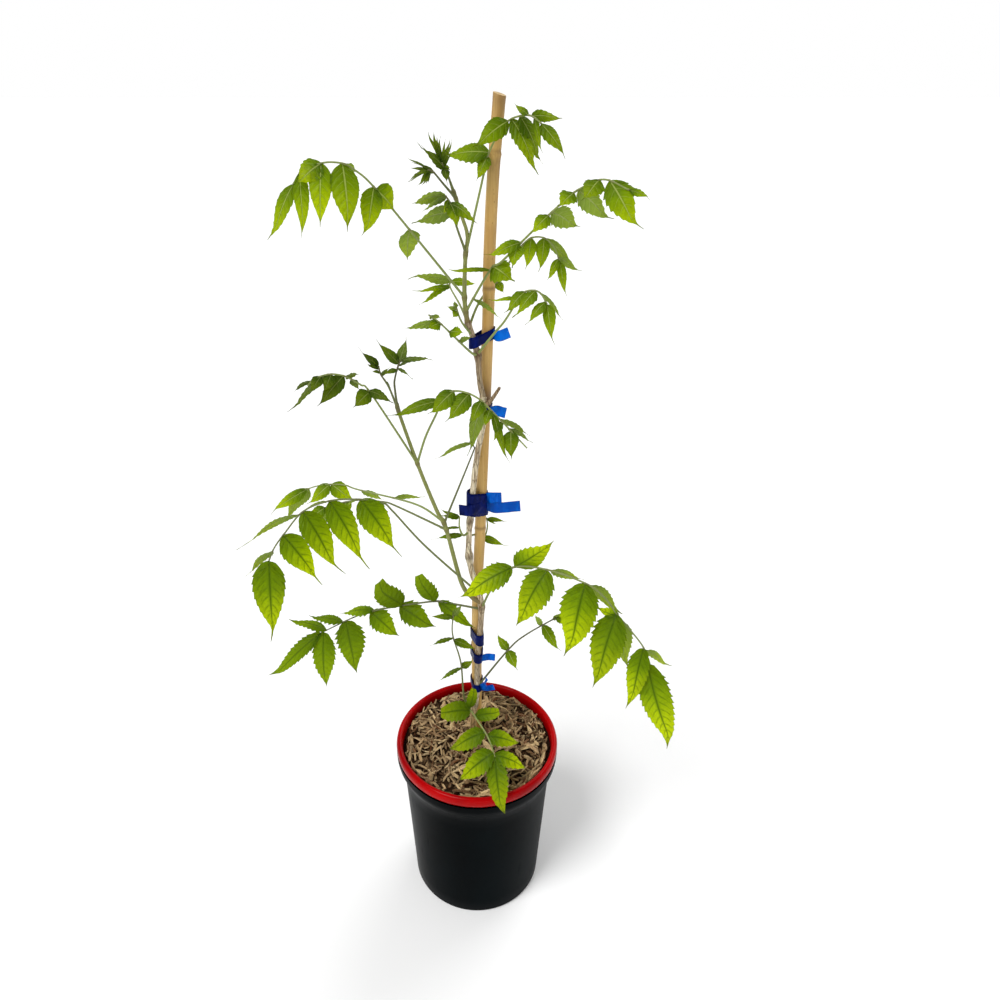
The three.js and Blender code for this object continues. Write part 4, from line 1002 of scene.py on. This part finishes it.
def trunk(material):
    """The woody stem, flaking and knotted, with a dead stub and a cut one."""
    shape = Shape()

    def radius(share, centre, angle):
        x, y = circle(angle, 3)
        flake = rough((x, y, centre.z * 0.14), 1.4, 3) * 0.42 + rough((x, y, centre.z * 0.4), 0.7, 9) * 0.16
        swell = 1.1 * near(centre.z, TRUNK_NODES, 6)
        return between(TRUNK_RADII, share) + flake + swell * (1 + 0.3 * math.sin(2 * angle + centre.z / 9))

    def tone_at(_, spot):
        z = spot.z
        brown = 0.75 * smooth(425, 385, z) * smooth(290, 330, z) + 0.8 * smooth(656, 672, z)
        brown = min(brown + 0.5 * smooth(590, 600, z) * smooth(618, 606, z), 1)
        return smooth(275, 240, z), brown, near(z, TRUNK_NODES, 3.5) * 0.8

    tube(shape, CARRIERS["trunk"], radius, TRUNK_SIDES, TRUNK_STEPS, tone_at)
    stub(shape, DEAD_STUB, (2.5, 1.5), 1)
    stub(shape, CUT_STUB, (2.5, 2.3), 0)
    place_piece(shape.build("trunk_detail", material), "vine_bark", "trunk")


def shoot(name, radii, material):
    """A green shoot, thicker at its foot and where its leaves stand."""
    shape = Shape()
    route = CARRIERS[name]
    starts = [route.nearest(Vector(points[0])) for carrier, points, _ in LEAVES.values() if carrier == name]
    marks = [route.marks[route.points.index(start)] for start in starts]

    def radius(share, _, angle):
        run = share * route.length
        swell = 0.7 * near(run, marks, 3) + 0.8 * near(run, [0], 6)
        return between(radii, share) + swell + 0.12 * rough((angle, run / 6, 0), 0.6)

    def tone_at(share, _):
        return 0, smooth(0.9, 1, share), near(share * route.length, marks, 2)

    tube(shape, route, radius, SHOOT_SIDES, max(60, round(route.length / SHOOT_STEP)), tone_at)
    place_piece(shape.build(f"{name}_detail", material), "green_stem", name)


def stake(route, material):
    """A bamboo cane with rings at its knots, cut off aslant over its hollow."""
    shape = Shape()
    top = route.points[-1]

    def radius(share, centre, angle):
        ridge = near(centre.z, STAKE_KNOTS, 2.2) * 0.6
        groove = near(centre.z, [knot + 3.4 for knot in STAKE_KNOTS], 1.1) * 0.25
        flutes = 0.12 * rough((*circle(angle, 2), centre.z / 60), 1.1, 5)
        return between(STAKE_RADII, share) + ridge - groove + flutes

    def tone_at(_, spot):
        stain = max(strength * near(spot.z, [height], reach) for strength, height, reach in STAKE_STAINS)
        stain = max(stain, 0.6 * smooth(30, 0, top.z - spot.z), 0.5 * smooth(235, 196, spot.z))
        return near(spot.z, [knot + 2 for knot in STAKE_KNOTS], 1.6), stain, 0

    rows = tube(shape, route, radius, STAKE_SIDES, STAKE_STEPS, tone_at, caps=(True, False))
    for point in range(len(shape.points)):
        x, y, z = shape.points[point]
        slope = 0.22 * (top.x - x) + 0.12 * (y - top.y)
        shape.points[point] = (x, y, z + (slope - 0.6) * smooth(0, 8, z - (top.z - 10)))
    rim = [Vector(shape.points[point]) for point in rows[-1]]
    middle = sum(rim, Vector()) / STAKE_SIDES
    end_rows = [rows[-1]]
    for scale, rise in ((0.93, 0.35), (0.62, 0.5), (0.58, -0.9), (0.3, -1.6)):
        spots = [middle + (spot - middle) * scale + UP * rise for spot in rim]
        end_rows.append([shape.point(spot, (0, 0, 1), (0, 0, 1)) for spot in spots])
    shape.rings(end_rows, caps=(False, True))
    place_piece(shape.build("stake_detail", material), "bamboo", "stake")


def pot(name, profile, material):
    """A round pot with drain holes through its floor."""
    shape = Shape()
    rows = []
    for radius, height in profile:
        rows.append(shape.ring(radius, height, POT_SEGMENTS if radius else 1))
    shape.rings(rows, caps=(False, False))
    piece = shape.build(f"{name}_detail", material)
    drill(piece)
    place_piece(piece, name, name)


def drill(piece):
    """Drain holes through the floor of a pot, and its sharp edges shaded as edges."""
    cutters = bmesh.new()
    for angle in turns(DRAIN_HOLES):
        made = bmesh.ops.create_cone(cutters, cap_ends=True, segments=36, radius1=DRAIN_RADIUS * MM,
                                     radius2=DRAIN_RADIUS * MM, depth=DRAIN_DEPTH * MM)
        shift = Vector((*circle(angle, DRAIN_CIRCLE_RADIUS * MM), 0))
        bmesh.ops.translate(cutters, verts=made["verts"], vec=shift)
    mesh = bpy.data.meshes.new("drain_cutters")
    cutters.to_mesh(mesh)
    cutters.free()
    cutter = add_object("drain_cutters", mesh)
    cut = piece.modifiers.new("drain", "BOOLEAN")
    cut.object = cutter
    cut.solver = "EXACT"
    graph = bpy.context.evaluated_depsgraph_get()
    drilled = bpy.data.meshes.new_from_object(piece.evaluated_get(graph))
    drilled.set_sharp_from_angle(angle=math.radians(POT_EDGE_ANGLE))
    piece.modifiers.clear()
    piece.data = drilled
    bpy.data.objects.remove(cutter)


def soil(material):
    """The potting mix that fills the inner pot."""
    shape = Shape()
    shape.rings([shape.ring(radius, height, MIX_SIDES) for radius, height in MIX_PROFILE])
    place_piece(shape.build("potting_mix_detail", material), "potting_mix", "potting_mix")


def mulch_bed(material):
    """A rough dark bed inside the red pot, around the stems."""
    bed = Shape()
    rows = []
    for share in shares(BED_RINGS):
        row = []
        for angle in turns(BED_SIDES):
            x, y = circle(angle, MULCH_RADIUS * share)
            z = MULCH_TOP - BED_DEPTH + 1.6 * rough((x, y, 0), 9, 2) + 0.9 * rough((x, y, 0), 3, 4)
            row.append(bed.point((x, y, z + MULCH_RISE * y / MULCH_RADIUS)))
        rows.append(row)
    rows.append(bed.ring(BED_FOOT_RADIUS, MIX_TOP + 0.5, BED_SIDES))
    bed.rings(rows, caps=(False, True))
    place_piece(bed.build("bark_mulch_bed", material), "bark_mulch", "bark_mulch")


def chip(shape, chance, centre, heading, length, width, thickness, tilt, tone):
    """A splinter: a bent, tapering strip with a ragged outline and split ends."""
    along = Vector((*circle(heading), math.tan(tilt))).normalized()
    across = UP.cross(along).normalized()
    roll = chance.uniform(-0.7, 0.7)
    across = across * math.cos(roll) + along.cross(across) * math.sin(roll)
    up = along.cross(across)
    bow = chance.uniform(-0.12, 0.12) * length
    ends = chance.uniform(0.25, 0.7), chance.uniform(0.1, 0.6)
    lean = chance.uniform(-0.5, 0.5) * width
    rows = []
    for t in shares(CHIP_STEPS):
        wide = min(between(ends, t) + 1.4 * (0.25 - (t - 0.5) ** 2) * 3, 1) * width / 2
        wide *= chance.uniform(0.8, 1.15)
        thick = thickness / 2 * chance.uniform(0.7, 1.15)
        middle = centre + along * (length * (t - 0.5)) + up * (bow * 4 * t * (1 - t))
        middle += across * (lean * (t - 0.5))
        row = []
        for side, high in CHIP_SECTION:
            jitter = chance.uniform(0.82, 1.12)
            spot = middle + across * (side * wide * jitter) + up * (high * thick * jitter)
            row.append(shape.point(spot, (length * t + tone[0] * 900, side * width, high * 2), tone))
        rows.append(row)
    shape.rings(rows)


def mulch_chips(material):
    """Shredded bark in layers, with a few long splinters on top. Chips by the wall lie along it."""
    chance = random.Random(21)
    chips = Shape()
    for number in range(CHIPS + SPLINTERS):
        layer = min(number / CHIPS, 1)
        length = chance.triangular(*CHIP_LENGTHS)
        width = chance.triangular(*CHIP_WIDTHS)
        thickness = chance.uniform(*CHIP_THICKNESSES)
        shade = chance.triangular(0, 1, 0.4)
        if chance.random() < PALE_CHIPS:
            shade = chance.uniform(1, 1.5)
        if number >= CHIPS:
            length, width = chance.uniform(*SPLINTER_LENGTHS), chance.uniform(*SPLINTER_WIDTHS)
            shade = chance.uniform(0.7, 1.4)
        distance = math.sqrt(chance.random()) * (MULCH_RADIUS - 3)
        turn = chance.uniform(0, 2 * math.pi)
        heading = chance.uniform(0, 2 * math.pi)
        if distance + length / 2 > MULCH_RADIUS - 2:
            heading = turn + math.pi / 2 + chance.uniform(-0.5, 0.5)
            length = min(length, WALL_CHIP_LENGTH)
            distance = min(distance, MULCH_RADIUS - 3.5 - width / 2)
        centre = Vector((*circle(turn, distance), 0))
        centre.z = MULCH_TOP - CHIPS_DEPTH + CHIPS_HEIGHT * layer + chance.uniform(-1.6, 1)
        centre.z += MULCH_RISE * centre.y / MULCH_RADIUS
        tilt = chance.uniform(-0.35, 0.35) * (0.4 + layer)
        # The layer is kept in the tone, and chip_look paints the lower layers in dark shade from it
        tone = (shade, chance.random() ** 2, layer)
        chip(chips, chance, centre, heading, length, width, thickness, tilt, tone)
    place_piece(chips.build("bark_mulch_chips", material, sharp=40), "bark_mulch", "bark_mulch")


def pulled_round(centres, room, count):
    """Points of a band pulled around the stake and the stem, with each point's outward way."""
    points = []
    for angle in turns(count):
        way = Vector((*circle(angle), 0))
        spots = [centre + way * (reach + room) for centre, reach in zip(centres, TIE_REACHES)]
        points.append((max(spots, key=way.dot), way))
    return points


def even_outline(points, count):
    """The same closed outline with points at equal distances, as (place, way, run)."""
    marks = [0.0]
    loop = [*points, points[0]]
    for (a, _), (b, _) in zip(loop, loop[1:]):
        marks.append(marks[-1] + (b - a).length)
    out = []
    for share in shares(count)[:-1]:
        goal = marks[-1] * share
        index = max(i for i, mark in enumerate(marks[:-1]) if mark <= goal)
        (a, way_a), (b, way_b) = loop[index:index + 2]
        rest = (goal - marks[index]) / max(marks[index + 1] - marks[index], 1e-9)
        out.append((a.lerp(b, rest), way_a.lerp(way_b, rest).normalized(), goal))
    return out


def tie_band(shape, number, turn, outline, z, width, lean, drift):
    """One turn of creased tape around stake and stem."""
    outer, inner = [], []
    for across in [2 * share - 1 for share in shares(TAPE_COLUMNS)]:
        rows = ([], [])
        for angle, (spot, way, run) in zip(turns(len(outline)), outline):
            fold = 0.34 * math.sin(across * 5 + 2.2 * math.sin(angle * 2 + number) + turn)
            fold += 0.35 * rough((*circle(angle, 4), across * 2), 1.3, number + turn)
            fold *= 0.35 + 0.65 * abs(math.cos(angle / 2))
            edge = width / 2 * across * (1 + 0.07 * rough((angle * 2, turn, number), 1))
            high = z + drift * math.sin(angle + number) + lean * spot.x + edge
            for row, depth in zip(rows, (0, TIE_WALL)):
                place = spot + way * (0.34 + 0.34 * fold - depth)
                row.append(shape.point((place.x, place.y, high), (run, across, 0), (TIE_LAYERS, 0, 0)))
        outer.append(rows[0])
        inner.append(rows[1])
    shape.rings([*outer, *inner[::-1], outer[0]], caps=(False, False))


def tie_tail(shape, number, route, width, curl, layers_at):
    """A free end of the tape, curled across, with a ragged cut."""
    rows = []
    for t in shares(TAIL_STEPS):
        centre, heading = route.at(t), route.heading(t)
        across = UP - heading * heading.z
        across = across.normalized() if across.length > 0.1 else Vector((1, 0, 0))
        out = across.cross(heading).normalized()
        wide = width / 2 * (0.85 + 0.15 * smooth(0, 0.3, t))
        front, back = [], []
        for side in [2 * share - 1 for share in shares(TAPE_COLUMNS)]:
            ragged = (0.8 + 0.5 * side * curl) if t == 1 else 0
            bulge = wide * 0.14 * (1 - side * side) * curl * (1 - 0.4 * t)
            bulge += 0.4 * rough((t * 8, side * 2, number), 1.2) + 0.12 * math.sin(7 * t + 4 * side)
            spot = centre + across * (wide * side) + out * bulge + heading * ragged
            for row, hand in ((front, 1), (back, -1)):
                place = spot + out * (hand * TIE_WALL / 2)
                row.append(shape.point(place, (t * route.length, side, 0), (layers_at(t), 0, 0)))
        rows.append(front + back[::-1])
    shape.rings(rows)


def ties(stake_route, material):
    """Each tie: two turns of tape round stake and stem, and its tails from the knot."""
    for number, (z, band, tail, lean, tails) in enumerate(TIES, 1):
        chance = random.Random(400 + number)
        shape = Shape()
        centres = stake_route.level_at(z), CARRIERS["trunk"].level_at(z)
        for turn, (room, drift, part) in enumerate(TIE_TURNS):
            outline = even_outline(pulled_round(centres, room, 240), TIE_POINTS)
            tie_band(shape, number, turn, outline, z, band * part, lean, drift)
        knot, _ = max(pulled_round(centres, TIE_KNOT_ROOM, 120), key=lambda pair: pair[1].dot(KNOT_WAY))
        for points in tails:
            middle, slack = z + lean * knot.x, max(band - tail, 0) / 2
            start = (knot.x, knot.y, min(max(points[0][2], middle - slack), middle + slack))
            leftward = points[-1][0] < 0
            curl = chance.uniform(0.5, 0.9)
            tie_tail(shape, number, Route([start, *points]), tail, curl,
                     lambda t: TIE_LAYERS if leftward else 0.75 * smooth(0.35, 0, t))
        place_piece(shape.build(f"tie_{number}_detail", material), "tie_tape", f"tie_{number}")


def sky():
    """White at the horizon and softer above."""
    world = bpy.data.worlds.new("studio")
    world.use_nodes = True
    nodes, links = world.node_tree.nodes, world.node_tree.links
    coordinates = nodes.new("ShaderNodeTexCoord")
    split = nodes.new("ShaderNodeSeparateXYZ")
    fade = nodes.new("ShaderNodeMapRange")
    links.new(coordinates.outputs["Generated"], split.inputs[0])
    links.new(split.outputs["Z"], fade.inputs["Value"])
    for socket, value in (("From Min", 0.1), ("From Max", 0.4), ("To Min", 1), ("To Max", 0.4)):
        fade.inputs[socket].default_value = value
    background = nodes["Background"]
    background.inputs["Color"].default_value = (1, 1, 1, 1)
    links.new(fade.outputs["Result"], background.inputs["Strength"])
    bpy.context.scene.world = world


def lights():
    """Two wide soft suns."""
    for name, source, strength, width in SUNS:
        light = bpy.data.lights.new(name, "SUN")
        light.energy = strength
        light.angle = math.radians(width)
        add_object(name, light).rotation_euler = Vector(source).to_track_quat("Z", "Y").to_euler()


def ground():
    """A white floor that reaches to the horizon."""
    floor = bpy.data.meshes.new("floor")
    corners = [(x * FLOOR_REACH, y * FLOOR_REACH, 0) for x, y in ((-1, -1), (1, -1), (1, 1), (-1, 1))]
    floor.from_pydata(corners, [], [(0, 1, 2, 3)])
    floor.materials.append(floor_look())
    sheet = add_object("floor", floor)
    sheet.location.z = FLOOR_HEIGHT


def view():
    """The photo's camera and plain colours."""
    scene = bpy.context.scene
    scene.view_settings.view_transform = "Standard"
    scene.view_settings.look = "None"
    camera = bpy.data.cameras.new("camera")
    camera.lens = CAMERA_LENS
    camera.sensor_width = 36
    camera.shift_x, camera.shift_y = CAMERA_SHIFT
    scene.camera = add_object("camera", camera)
    scene.camera.location = CAMERA_PLACE
    scene.camera.rotation_euler = (math.pi / 2 - CAMERA_TILT, 0, 0)


leaf_looks = blade_look(), stalk_look()
for number, (name, (carrier, points, leaflets)) in enumerate(LEAVES.items()):
    leaf(name, carrier, points, leaflets, leaf_looks, 100 + number)
trunk(bark_look())
green = shoot_look()
shoot("side_shoot", SIDE_SHOOT_RADII, green)
shoot("upper_shoot", UPPER_SHOOT_RADII, green)
stake_route = Route([(x, STAKE_DEPTH, z) for x, z in STAKE_AXIS])
stake(stake_route, cane_look())
ties(stake_route, tape_look())
pot("pot_black", BLACK_PROFILE, black_look())
pot("pot_red", RED_PROFILE, red_look())
soil(soil_look())
mulch_bed(soil_look())
mulch_chips(chip_look())
sky()
lights()
ground()
view()
